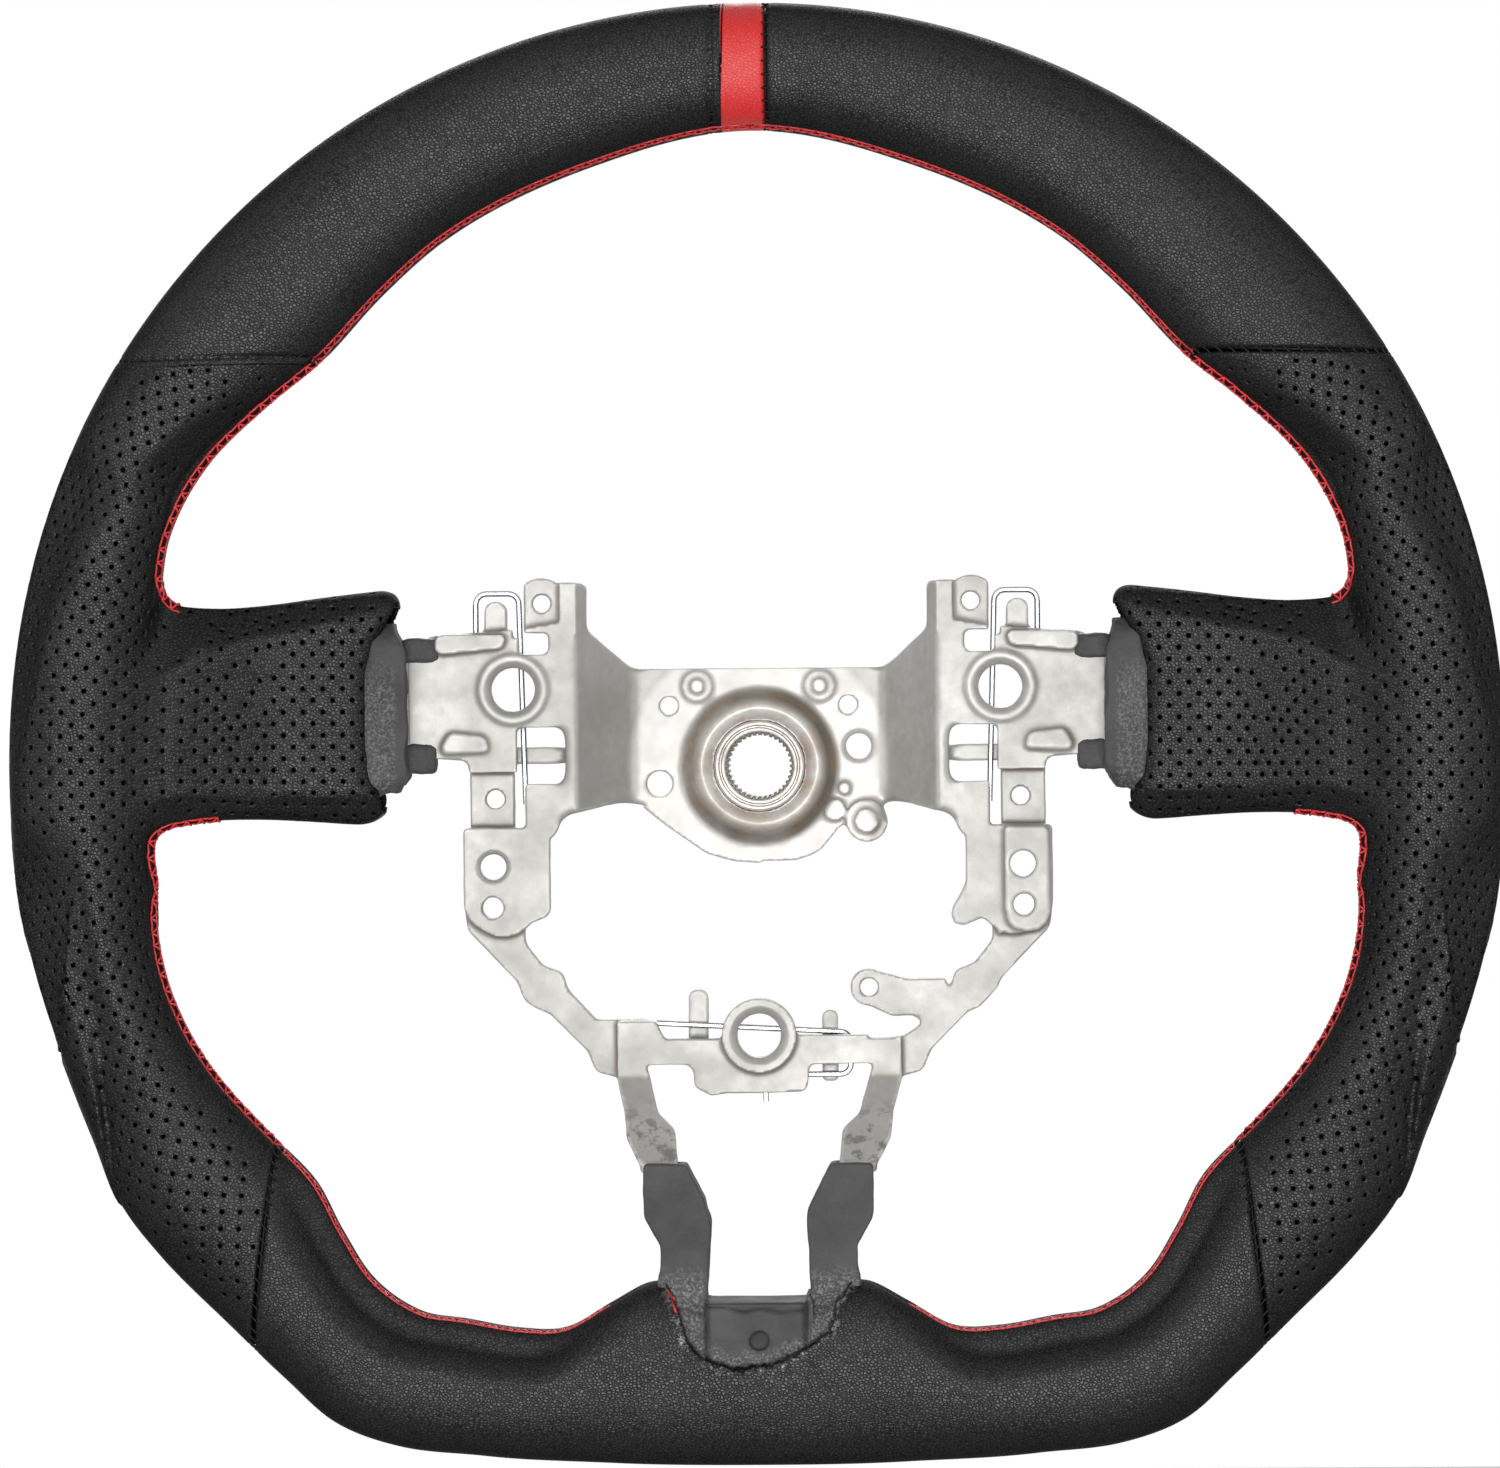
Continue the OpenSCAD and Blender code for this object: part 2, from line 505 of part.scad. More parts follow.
// ---- rod inside the rim: a long arc, two straights, two corners and the bottom run ----
core_arc_end = 122;
core_corner_r = 60;
core_turn = 180 - core_arc_end;
core_end = [core_ring_r * sin(core_arc_end), core_ring_z + core_ring_r * cos(core_arc_end)];
core_side_l = (core_end[1] - core_low_z) / sin(core_arc_end);
core_reach = core_corner_r * tan(core_turn / 2);
core_knee_x = core_end[0] + core_side_l * cos(core_arc_end);
function arc_points(c, r, a0, a1, n) =
    [for (i = [0:n]) let (a = a0 + (a1 - a0) * i / n) [c[0] + r * sin(a), rim_y, c[1] + r * cos(a)]];
// the corner's own arc runs from the end of the straight to the bottom run
core_path_right = concat(
    arc_points([0, core_ring_z], core_ring_r, 0, core_arc_end, 24),
    arc_points([core_knee_x - core_reach, core_low_z + core_corner_r], core_corner_r, core_arc_end, 180, 7));
core_path = concat(core_path_right,
    [for (i = [len(core_path_right) - 1:-1:1]) [-core_path_right[i][0], rim_y, core_path_right[i][2]]]);
rod_n = 10;
module rim_rod(r) {
    tube(core_path, r, rod_n, [0, 1, 0], true);
}
module rim_core() {
    color("#8f9296") rim_rod(core_r);
}

spline_half_w = 0.013 * bore_d;
module spline_bushing() {
    color("#a9a49a") difference() {
        translate([0, seat_y, 0]) rotate([-90, 0, 0]) cylinder(r = bushing_d / 2, h = bushing_l);
        translate([0, seat_y - 1, 0]) rotate([-90, 0, 0]) cylinder(r = bore_d / 2, h = bushing_l + 2);
        for (i = [0:spline_n - 1]) rotate([0, i * 360 / spline_n, 0])
            translate([bore_d / 2 - 0.2, seat_y - 1, 0]) rotate([-90, 0, 0])
                linear_extrude(bushing_l + 2)
                    polygon([[0, -spline_half_w], [spline_h + 0.2, 0], [0, spline_half_w]]);
    }
}

// ---- foam ----
foam_inset = leather_t + glue_gap;
module arm_cavity(g) {
    socket_l = arm_top_end_z - arm_low_end_z + 4;
    for (side = [-1, 1]) {
        hull() {
            translate([side * (spoke_end_x + 8), pad_y + plate_t / 2, (arm_top_end_z + arm_low_end_z) / 2])
                cube([0.1, plate_t + 2 * g, arm_top_end_z - arm_low_end_z + 2 * g], center = true);
            translate([side * core_ring_r, rim_y, (arm_top_end_z + arm_low_end_z) / 2])
                cube([2, plate_t + 2 * g, arm_top_end_z - arm_low_end_z + 2 * g], center = true);
        }
        hull() {
            translate([side * (spoke_end_x + 8.1), pad_y + plate_t / 2, (arm_top_end_z + arm_low_end_z) / 2])
                cube([0.1, plate_t + 2 * g, arm_top_end_z - arm_low_end_z + 2 * g], center = true);
            translate([side * (spoke_end_x - 12), pad_y + plate_t / 2 - 1, (arm_top_z + arm_low_z) / 2])
                cube([0.1, plate_t + 6 + 2 * g, arm_top_z - arm_low_z + 2 * g], center = true);
        }
        translate([side * core_ring_r, rim_y, (arm_top_end_z + arm_low_end_z) / 2]) rotate([0, -side * 4, 0])
            cylinder(r = core_r + socket_wall + 1.2, h = socket_l, center = true, $fn = 24);
    }
}
module leg_foam(side) {
    pts = rounded([
        [side * 28, leg_foam_z, 1], [side * 17.6, leg_foam_z, 1], [side * 11.6, leg_foam_z - 12, 6],
        [side * 12.6, leg_foam_z - 30, 3], [side * 12.6, core_low_z, 0], [side * 32, core_low_z, 0],
        [side * 24, leg_foam_z - 26, 3], [side * 24, leg_foam_z - 20, 3], [side * 28, leg_foam_z - 13, 3]]);
    slab(rim_y - 6, rim_y + 6) polygon(pts);
}
module leg_cavity(side, g) {
    size = [9.6 + 2 * g, plate_t + 2 * g, 2];
    hull() {
        translate([side * 24.3, rim_y, leg_foam_z + 0.5]) cube(size, center = true);
        translate([side * 23.3, rim_y, core_low_z]) cube(size, center = true);
    }
    translate([side * (foot_x + foot_l / 2), rim_y, core_low_z]) rotate([0, 90, 0])
        cylinder(r = (core_r + socket_wall + g) / cos(180 / 24), h = foot_l + 2 * g, center = true, $fn = 24);
}
module foam_overmould() {
    color("#4a4b4d") difference() {
        union() {
            rim_ring(foam_inset);
            for (side = [0, 1]) mirror([side, 0, 0]) spoke(foam_inset, spoke_end_x - 3);
            for (side = [-1, 1]) leg_foam(side);
            slab(rim_y - 10, rim_y + 10)
                polygon(box_outline(-bridge_half_w, bridge_half_w, core_low_z, bridge_top_z, 1));
        }
        arm_cavity(mould_gap);
        for (side = [-1, 1]) leg_cavity(side, mould_gap);
        rim_rod((core_r + mould_gap) / cos(180 / rod_n));
        // blind hole in the front of the bridge
        drill(0, bridge_top_z - 11, 2.4, rim_y - rim_depth, rim_y - 5);
    }
}

// ---- leather ----
half_seam = seam_gap / 2;
// how far the inside of a hollow panel runs out past its ends
open_end = 5;
module top_right_leather() {
    color("#202124") panel(BAND_RIGHT, half_seam, upper_seam(1), -half_seam, rows_for(13));
}
module top_left_leather() {
    color("#202124") panel(upper_seam(-1), half_seam, BAND_LEFT, -half_seam, rows_for(13));
}
module centre_stripe() {
    color("#d8231f") panel(BAND_LEFT, half_seam, BAND_RIGHT, -half_seam, 3);
}
module grip() {
    difference() {
        union() {
            panel_solid(upper_seam(1), half_seam, lower_seam(1), -half_seam, rows_for(20), 0);
            spoke(0, spoke_end_x);
        }
        panel_solid(upper_seam(1), half_seam - open_end,
            lower_seam(1), open_end - half_seam, rows_for(24), leather_t);
        spoke(leather_t, spoke_end_x - open_end);
    }
}
module right_grip_leather() {
    color("#1b1c1f") grip();
}
module left_grip_leather() {
    color("#1b1c1f") mirror([1, 0, 0]) grip();
}
module bottom_leather() {
    color("#202124") difference() {
        panel_solid(lower_seam(1), half_seam, lower_seam(-1), -half_seam, rows_for(32), 0);
        panel_solid(lower_seam(1), half_seam - open_end,
            lower_seam(-1), open_end - half_seam, rows_for(36), leather_t);
        // the leather is cut back around the foam bridge and the roots of the legs
        slab(rim_y - 30, rim_y + 30) polygon(rounded([[-21, bridge_top_z + 9, 0], [21, bridge_top_z + 9, 0],
            [20, bridge_top_z - 4, 3], [15, leather_cut_z + 1, 4], [0, leather_cut_z - 1, 20],
            [-15, leather_cut_z + 1, 4], [-20, bridge_top_z - 4, 3]]));
        for (side = [-1, 1]) for (z = [0:3]) hull() {
            translate([side * 24, rim_y, bridge_top_z - 3 + z]) cube([14, 14, 2], center = true);
            translate([side * 24, rim_y, bridge_top_z + 8]) cube([14, 14, 2], center = true);
        }
    }
}

// ---- thread ----
module cross_seam(s) {
    r = thread_d / 2;
    path = [for (k = [0:section_n - 1])
        let (u = 360 * k / section_n, inset = r + 0.1, p = seam_solve(s, u, inset, 0))
        polar(section_rho(p, u, inset), p, section_y(p, u, inset))];
    tube(path, r, 4, unit(path[0] - path[section_n / 2]), true);
}
module left_stripe_seam() {
    color("#18191b") cross_seam(BAND_LEFT);
}
module right_stripe_seam() {
    color("#18191b") cross_seam(BAND_RIGHT);
}
module left_upper_seam() {
    color("#18191b") cross_seam(upper_seam(-1));
}
module right_upper_seam() {
    color("#18191b") cross_seam(upper_seam(1));
}
module left_lower_seam() {
    color("#18191b") cross_seam(lower_seam(-1));
}
module right_lower_seam() {
    color("#18191b") cross_seam(lower_seam(1));
}
lacing_gap = 0.5;
module lacing(p0, p1, rows) {
    r = thread_d / 2;
    tube([for (i = [0:rows])
        let (p = p0 + (p1 - p0) * i / rows) polar(rim_in(p) - r - lacing_gap, p, rim_y)], r, 5);
}
module upper_lacing() {
    color("#c81f22") lacing(-66, 66, 40);
}
module right_lower_lacing() {
    color("#c81f22") lacing(103, 163, 24);
}
module left_lower_lacing() {
    color("#c81f22") lacing(-103, -163, 24);
}
module spoke_lacing(side) {
    r = thread_d / 2;
    mid = (spoke_top_z + spoke_low_z) / 2;
    y = spoke_back_y + r + 0.25;
    tube([for (x = [spoke_end_x + 1, spoke_end_x + 14, rim_r - 66]) [side * x, y, mid]], r, 6);
}
module left_spoke_lacing() {
    color("#18191b") spoke_lacing(-1);
}
module right_spoke_lacing() {
    color("#18191b") spoke_lacing(1);
}

// ---- airbag retaining springs ----
function bend(c, a0, a1, n = 5) =
    [for (i = [0:n])
        let (a = a0 + (a1 - a0) * i / n) [c[0] + wire_bend * cos(a), wire_y, c[1] + wire_bend * sin(a)]];
module side_spring() {
    tube(concat(
        [[loop_x0 - 1.4, wire_y, -9]],
        bend([loop_x0 + wire_bend, loop_top_z - wire_bend], 180, 90),
        bend([loop_x1 - wire_bend, loop_top_z - wire_bend], 90, 0),
        [[loop_x1, wire_y, 26]]), wire_r, 8);
}
module airbag_spring_right() {
    color("#c9ccd0") side_spring();
}
module airbag_spring_left() {
    color("#c9ccd0") mirror([1, 0, 0]) side_spring();
}
module airbag_spring_lower() {
    color("#c9ccd0") tube(concat(
        [[-25.4, wire_y, -63.4]],
        bend([low_loop_x - wire_bend, -65.8 - wire_bend], 90, 0),
        bend([low_loop_x - wire_bend, -76.3 + wire_bend], 0, -90),
        bend([1.5 + wire_bend, -76.3 - wire_bend], 90, 180),
        [[1.5, wire_y, -82.9]]), wire_r, 8);
}

module from_plate() {
    translate([0, -seat_y, 0]) children();
}

from_plate() armature();
from_plate() rim_core();
from_plate() spline_bushing();
from_plate() foam_overmould();
from_plate() top_left_leather();
from_plate() top_right_leather();
from_plate() centre_stripe();
from_plate() left_grip_leather();
from_plate() right_grip_leather();
from_plate() bottom_leather();
from_plate() left_stripe_seam();
from_plate() right_stripe_seam();
from_plate() left_upper_seam();
from_plate() right_upper_seam();
from_plate() left_lower_seam();
from_plate() right_lower_seam();
from_plate() upper_lacing();
from_plate() left_lower_lacing();
from_plate() right_lower_lacing();
from_plate() left_spoke_lacing();
from_plate() right_spoke_lacing();
from_plate() airbag_spring_left();
from_plate() airbag_spring_right();
from_plate() airbag_spring_lower();
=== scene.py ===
"""Looks for the leather-wrapped flat-bottom steering wheel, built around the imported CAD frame.

Lengths in the geometry code are millimetres in the frame of the part, and become metres in make_mesh().
+Z points to 12 o'clock, -Y towards the driver, +X to the driver's right.
"""
import math

import bmesh
import bpy
import numpy as np
from mathutils import Matrix, Vector


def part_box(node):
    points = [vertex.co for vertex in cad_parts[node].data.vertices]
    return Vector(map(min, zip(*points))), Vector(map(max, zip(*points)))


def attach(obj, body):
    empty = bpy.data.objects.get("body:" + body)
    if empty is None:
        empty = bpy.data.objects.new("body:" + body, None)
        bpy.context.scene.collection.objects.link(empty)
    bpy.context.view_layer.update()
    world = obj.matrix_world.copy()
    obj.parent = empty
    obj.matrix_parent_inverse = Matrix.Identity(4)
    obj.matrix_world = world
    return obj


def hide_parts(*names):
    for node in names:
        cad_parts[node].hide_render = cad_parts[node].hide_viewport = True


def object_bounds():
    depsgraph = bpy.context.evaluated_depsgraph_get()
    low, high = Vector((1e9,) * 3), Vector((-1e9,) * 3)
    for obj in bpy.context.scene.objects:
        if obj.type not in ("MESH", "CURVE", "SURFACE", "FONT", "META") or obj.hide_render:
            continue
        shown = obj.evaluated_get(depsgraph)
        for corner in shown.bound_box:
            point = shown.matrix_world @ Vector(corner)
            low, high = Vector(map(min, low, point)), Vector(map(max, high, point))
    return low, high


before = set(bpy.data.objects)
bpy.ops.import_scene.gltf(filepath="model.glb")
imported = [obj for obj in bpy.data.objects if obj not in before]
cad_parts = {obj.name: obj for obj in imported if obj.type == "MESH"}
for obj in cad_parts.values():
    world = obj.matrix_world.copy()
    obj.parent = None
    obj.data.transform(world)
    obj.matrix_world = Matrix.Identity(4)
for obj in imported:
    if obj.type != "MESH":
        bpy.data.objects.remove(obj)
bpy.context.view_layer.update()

BODY = "wheel"
MM = 0.001
MIRROR = np.array([-1, 1, 1])


def box_mm(node):
    """Lowest and highest corner of a CAD node, in millimetres."""
    low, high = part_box(node)
    return np.array(low) / MM, np.array(high) / MM


def add_object(name, data):
    obj = bpy.data.objects.new(name, data)
    bpy.context.scene.collection.objects.link(obj)
    return obj


# ---------------------------------------------------------------- camera
CAMERA_DISTANCE = 1600.0
VIEW_WIDTH = 366.5
VIEW_YAW = math.radians(1.3)
VIEW_ROLL = math.radians(0.45)
VIEW_CENTRE = (-1.3, 8.0)


def make_camera(rim_y):
    target = Vector((VIEW_CENTRE[0], rim_y, VIEW_CENTRE[1])) * MM
    back = Vector((math.sin(VIEW_YAW), -math.cos(VIEW_YAW), 0))
    right = (-back).cross(Vector((0, 0, 1))).normalized()
    up = right.cross(-back)
    turn = Matrix.Rotation(-VIEW_ROLL, 3, back)
    axes = Matrix((turn @ right, turn @ up, back)).transposed()
    data = bpy.data.cameras.new("camera")
    data.lens = data.sensor_width * CAMERA_DISTANCE / VIEW_WIDTH
    data.clip_start = 0.05
    camera = add_object("camera", data)
    camera.matrix_world = Matrix.Translation(target + back * CAMERA_DISTANCE * MM) @ axes.to_4x4()
    bpy.context.scene.camera = camera


# ---------------------------------------------------------------- small numeric helpers
def smooth_step(a, b, x):
    t = np.clip((x - a) / (b - a), 0, 1)
    return t * t * (3 - 2 * t)


def unit(v):
    """Vectors, one a row, brought to length 1."""
    return v / np.maximum(np.linalg.norm(v, axis=-1), 1e-12)[..., None]


def clock_angle(x, z):
    """Angle from 12 o'clock, in degrees."""
    return np.degrees(np.arctan2(x, z))


def running_length(points):
    """Length along a chain of points, from 0 at the first."""
    return np.concatenate([[0], np.cumsum(np.linalg.norm(points[1:] - points[:-1], axis=1))])


def soft_plus(x, width):
    """0 below zero and x above it, with a rounded corner about `width` long."""
    return np.where(x > 20 * width, x, width * np.log1p(np.exp(np.clip(x / width, -40, 20))))


def line_side(x, z, points):
    """Signed distance to a chain of points in the X-Z plane, positive to the right of its direction, and the
    share of its length where the nearest point lies."""
    points = np.array(points, float)
    start = running_length(points)
    best = np.full(np.shape(x), 1e9)
    side = np.zeros(np.shape(x))
    share = np.zeros(np.shape(x))
    for i, (a, b) in enumerate(zip(points[:-1], points[1:])):
        d = b - a
        t = np.clip(((x - a[0]) * d[0] + (z - a[1]) * d[1]) / (d @ d), 0, 1)
        qx, qz = x - a[0] - t * d[0], z - a[1] - t * d[1]
        dist = np.hypot(qx, qz)
        cross = qx * d[1] - qz * d[0]
        near = dist < best
        best = np.where(near, dist, best)
        side = np.where(near, np.sign(cross) * dist, side)
        share = np.where(near, (start[i] + t * (start[i + 1] - start[i])) / start[-1], share)
    return side, share


def spline(points, count):
    """Points along a Catmull-Rom curve through the given ones."""
    p = np.array(points, float)
    p = np.vstack([2 * p[0] - p[1], p, 2 * p[-1] - p[-2]])
    out = []
    for i in range(1, len(p) - 2):
        for t in np.linspace(0, 1, count, endpoint=False):
            out.append(0.5 * (2 * p[i] + (p[i + 1] - p[i - 1]) * t
                              + (2 * p[i - 1] - 5 * p[i] + 4 * p[i + 1] - p[i + 2]) * t ** 2
                              + (3 * p[i] - p[i - 1] - 3 * p[i + 1] + p[i + 2]) * t ** 3))
    out.append(p[-2])
    return np.array(out)


# ---------------------------------------------------------------- rim shape, as in the part's source
_stripe_low, _stripe_high = box_mm("centre_stripe")
_grip_low, _grip_high = box_mm("right_grip_leather")
RIM_Y = (_stripe_low[1] + _stripe_high[1]) / 2
RIM_HALF_DEPTH = (_stripe_high[1] - _stripe_low[1]) / 2

# pairs of [angle from 12 o'clock, length]: the outline outside a circle, the inner edge inside it, the depth
OUTER = [[0, 4], [30, 3.5], [60, 2], [90, 0.1], [105, 0.8], [112, 1.3], [119, 3.1], [124, 6], [129, 5.9],
         [136, 5], [142, 6.1], [147, 7.8], [152, 4.9], [158, -1.5], [168, -8.9], [180, -12]]
INNER = [[0, 27], [15, 30.5], [30, 33], [38, 35.5], [46, 37.3], [53, 34], [61, 29.3], [68, 28.3], [74, 31],
         [82, 33], [92, 33.5], [100, 32.7], [107, 29.8], [112, 29.1], [118, 30.1], [128, 34.1], [133, 34.7],
         [138, 30.5], [143, 26.3], [148, 26.3], [152, 30.2], [157, 33.9], [161, 38.1], [164.5, 47], [168, 54],
         [172, 55], [180, 54]]
DEPTH = [[0, 0], [45, 0], [70, 1], [110, 1], [135, 0.5], [160, -1], [180, -2]]
SECTION_POWER = 0.84
RIM_R = _grip_high[0] - 0.1


def key_at(keys, p):
    """Value of a key list at the angles p, smooth between the keys."""
    keys = np.array(keys, float)
    x, y = keys[:, 0], keys[:, 1]
    slope = np.zeros(len(x))
    slope[1:-1] = (y[2:] - y[:-2]) / (x[2:] - x[:-2])
    i = np.clip(np.searchsorted(x, p, side="right") - 1, 0, len(x) - 2)
    w = x[i + 1] - x[i]
    t = (p - x[i]) / w
    return ((2 * t ** 3 - 3 * t ** 2 + 1) * y[i] + (t ** 3 - 2 * t ** 2 + t) * slope[i] * w
            + (3 * t ** 2 - 2 * t ** 3) * y[i + 1] + (t ** 3 - t ** 2) * slope[i + 1] * w)


def from_top(p):
    p = np.mod(np.asarray(p, float), 360)
    return np.where(p > 180, 360 - p, p)


def rim_out(p):
    return RIM_R + key_at(OUTER, from_top(p))


def rim_in(p):
    return RIM_R - key_at(INNER, from_top(p))


def half_depth(p):
    return RIM_HALF_DEPTH + key_at(DEPTH, from_top(p))


def soft(v):
    return np.sign(v) * np.abs(v) ** SECTION_POWER


def section_point(p, u, inset=0.0):
    """Point of the rim's surface at angle p from 12 o'clock and section angle u: 0 outside, -90 in front."""
    p, u = np.broadcast_arrays(np.asarray(p, float), np.asarray(u, float))
    mid, a = (rim_out(p) + rim_in(p)) / 2, (rim_out(p) - rim_in(p)) / 2
    rho = mid + (a - inset) * soft(np.cos(np.radians(u)))
    y = RIM_Y + (half_depth(p) - inset) * soft(np.sin(np.radians(u)))
    return np.stack([rho * np.sin(np.radians(p)), y, rho * np.cos(np.radians(p))], -1)


# a seam is a straight line across the rim, given by its unit normal and its distance from the column axis;
# "low" is the side of 6 o'clock, or of the right-hand panel for the two seams of the band
LOWER_SEAM_ANGLE = math.radians(82.1)
SEAMS = {
    "left_band": ((1.0, 0.0), _stripe_low[0] - 0.9),
    "right_band": ((1.0, 0.0), _stripe_high[0] + 0.9),
    "upper": ((0.0, 1.0), 0.548 * RIM_R),
    "right_lower": ((math.sin(LOWER_SEAM_ANGLE), math.cos(LOWER_SEAM_ANGLE)), 0.5655 * RIM_R),
    "left_lower": ((-math.sin(LOWER_SEAM_ANGLE), math.cos(LOWER_SEAM_ANGLE)), 0.5655 * RIM_R),
}


def seam_distance(name, x, z):
    (nx, nz), d = SEAMS[name]
    return x * nx + z * nz - d


def seam_angle(name, u, shift, guess, inset=0.0):
    """Angle at which the surface line u meets the seam moved by `shift` along its normal."""
    (nx, nz), d = SEAMS[name]
    p = np.full(np.shape(u), float(guess))
    for _ in range(30):
        q = section_point(p, u, inset)
        f = q[..., 0] * nx + q[..., 2] * nz - d - shift
        e = section_point(p + 0.01, u, inset)
        g = (e[..., 0] * nx + e[..., 2] * nz - d - shift - f) / 0.01
        p = p - np.clip(f / g, -4, 4)
    return p


# ---------------------------------------------------------------- meshes
def make_mesh(name, points, faces, material, smooth=True):
    mesh = bpy.data.meshes.new(name)
    mesh.from_pydata((np.asarray(points, float) * MM).tolist(), [], [list(map(int, f)) for f in faces])
    mesh.update()
    if smooth:
        mesh.shade_smooth()
    mesh.materials.append(material)
    return add_object(name, mesh)


def bm_object(name, bm):
    """A new object that holds a bmesh, which is freed."""
    mesh = bpy.data.meshes.new(name)
    bm.to_mesh(mesh)
    bm.free()
    return add_object(name, mesh)


def bm_arrays(bm):
    """Points and faces of a bmesh, which is freed."""
    bm.verts.index_update()
    points = np.array([v.co for v in bm.verts])
    faces = [[v.index for v in f.verts] for f in bm.faces]
    bm.free()
    return points, faces


def set_attribute(obj, name, values):
    layer = obj.data.attributes.new(name, "FLOAT", "POINT")
    layer.data.foreach_set("value", np.asarray(values, np.float32))


def mesh_points(obj):
    """Points in millimetres and normals of an object's mesh."""
    q = np.empty(len(obj.data.vertices) * 3)
    obj.data.vertices.foreach_get("co", q)
    n = np.empty(len(obj.data.vertices) * 3)
    obj.data.vertex_normals.foreach_get("vector", n)
    return q.reshape(-1, 3) / MM, n.reshape(-1, 3)


def grid_faces(rows, cols):
    """Quads between rings of points."""
    out = []
    for i in range(rows - 1):
        for k in range(cols):
            a, b = i * cols + k, i * cols + (k + 1) % cols
            out.append((a, b, b + cols, a + cols))
    return out


def tube_mesh(path, radius, sides=6, caps=True):
    """Points and faces of a round tube along a path of points."""
    tangent = unit(np.gradient(path, axis=0))
    ref = np.array([0.0, 1.0, 0.0])
    if abs(tangent[0] @ ref) > 0.9:
        ref = np.array([1.0, 0.0, 0.0])
    rings = []
    side = np.cross(tangent[0], ref)
    for i, t in enumerate(tangent):
        side = side - (side @ t) * t
        side /= np.linalg.norm(side)
        other = np.cross(t, side)
        ang = np.arange(sides)[:, None] * 2 * np.pi / sides
        rings.append(path[i] + radius * (np.cos(ang) * side + np.sin(ang) * other))
    faces = grid_faces(len(path), sides)
    if caps:
        last = (len(path) - 1) * sides
        faces += [tuple(range(sides - 1, -1, -1)), tuple(range(last, last + sides))]
    return np.vstack(rings), faces


class Bundle:
    """Collects the points and faces of many small meshes into one."""

    def __init__(self):
        self.points, self.faces, self.count = [], [], 0

    def add(self, points, faces):
        self.faces += [tuple(i + self.count for i in f) for f in faces]
        self.points.append(points)
        self.count += len(points)

    def make(self, name, look):
        return make_mesh(name, np.vstack(self.points), self.faces, LOOKS[look])


# ---------------------------------------------------------------- sewing
CURL_R = 1.3
LIP_INSET = CURL_R + 1.2
GAP = 0.25   # from a seam's line to the leather beside it
MID_RADIUS = 15.5   # mean radius of the rim's section
# pairs of [angle from 12 o'clock, section angle]
LACE_KEYS = np.array([[0, -168], [40, -167], [52, -164], [62, -161], [75, -161],
                      [98, -168], [115, -170], [130, -172.5], [145, -174], [180, -174]], float)


def curl(d):
    """How far the leather turns inwards at the distance d from its sewn edge."""
    d = np.clip(d, 0, CURL_R)
    return CURL_R - np.sqrt(np.maximum(CURL_R ** 2 - (CURL_R - d) ** 2, 0))


def lace_angle(p):
    """Section angle of the middle of the lacing."""
    return np.interp(from_top(p), LACE_KEYS[:, 0], LACE_KEYS[:, 1])


def lace_reach(p, u):
    """Distance along the section from the middle of the lacing."""
    return MID_RADIUS * np.radians(np.mod(u - lace_angle(p) + 180, 360) - 180)


def lace_groove(p, u):
    """Depth of the channel in which the lacing lies, at the section angle u."""
    reach = lace_reach(p, u)
    return 0.9 * np.exp(-(reach / 1.5) ** 2) * smooth_step(169, 164, from_top(p))


def front_share(u):
    """1 on the front of the rim, 0 at its edges and behind."""
    return smooth_step(0.15, 0.75, -np.sin(np.radians(u)))


def bottom_relief(p, u):
    """Inset of the bottom leather: a valley that runs along the inner edge."""
    q = section_point(p, u)
    inner = np.hypot(q[..., 0], q[..., 2]) - rim_in(p)
    fade = smooth_step(127, 135, from_top(p))
    near_leg = smooth_step(166, 158, from_top(p))
    return fade * near_leg * front_share(u) * 0.42 * soft_plus(13.0 - inner, 1.2)


SEAM_ROWS = [0.0, 0.12, 0.35, 0.7, 1.15, 1.8, 2.8]


def panel_rows(ends, rows, cols, radius, relief=None):
    """Rings of points of a leather tube that turns inwards at both ends. Each end is the name of a seam, a
    shift along its normal and a first guess of its angle."""
    u = np.arange(cols) * 360.0 / cols
    p0, p1 = (seam_angle(seam, u, shift, guess) for seam, shift, guess in ends)
    total = (p1 - p0) * math.radians(radius)
    last = SEAM_ROWS[-1]
    levels = [e / total for e in SEAM_ROWS]
    levels += [(last + (total - 2 * last) * t) / total for t in np.linspace(0, 1, rows)[1:-1]]
    levels += [1 - e / total for e in SEAM_ROWS[::-1]]
    out = [section_point(p0, u, LIP_INSET)]
    for level in levels:
        p = p0 + (p1 - p0) * level
        x, _, z = section_point(p, u).T
        away = [np.abs(seam_distance(seam, x, z) - shift) for seam, shift, _ in ends]
        inset = curl(np.minimum(*away)) + lace_groove(p, u)
        out.append(section_point(p, u, inset + relief(p, u) if relief else inset))
    return out + [section_point(p1, u, LIP_INSET)]


def panel(name, look, node, rows, *ends):
    """One leather panel of the rim between two seams."""
    cols = 112
    rings = panel_rows(ends, rows, cols, RIM_R - 16)
    finish_piece(make_mesh(name, np.vstack(rings), grid_faces(len(rings), cols), LOOKS[look]), look, node)


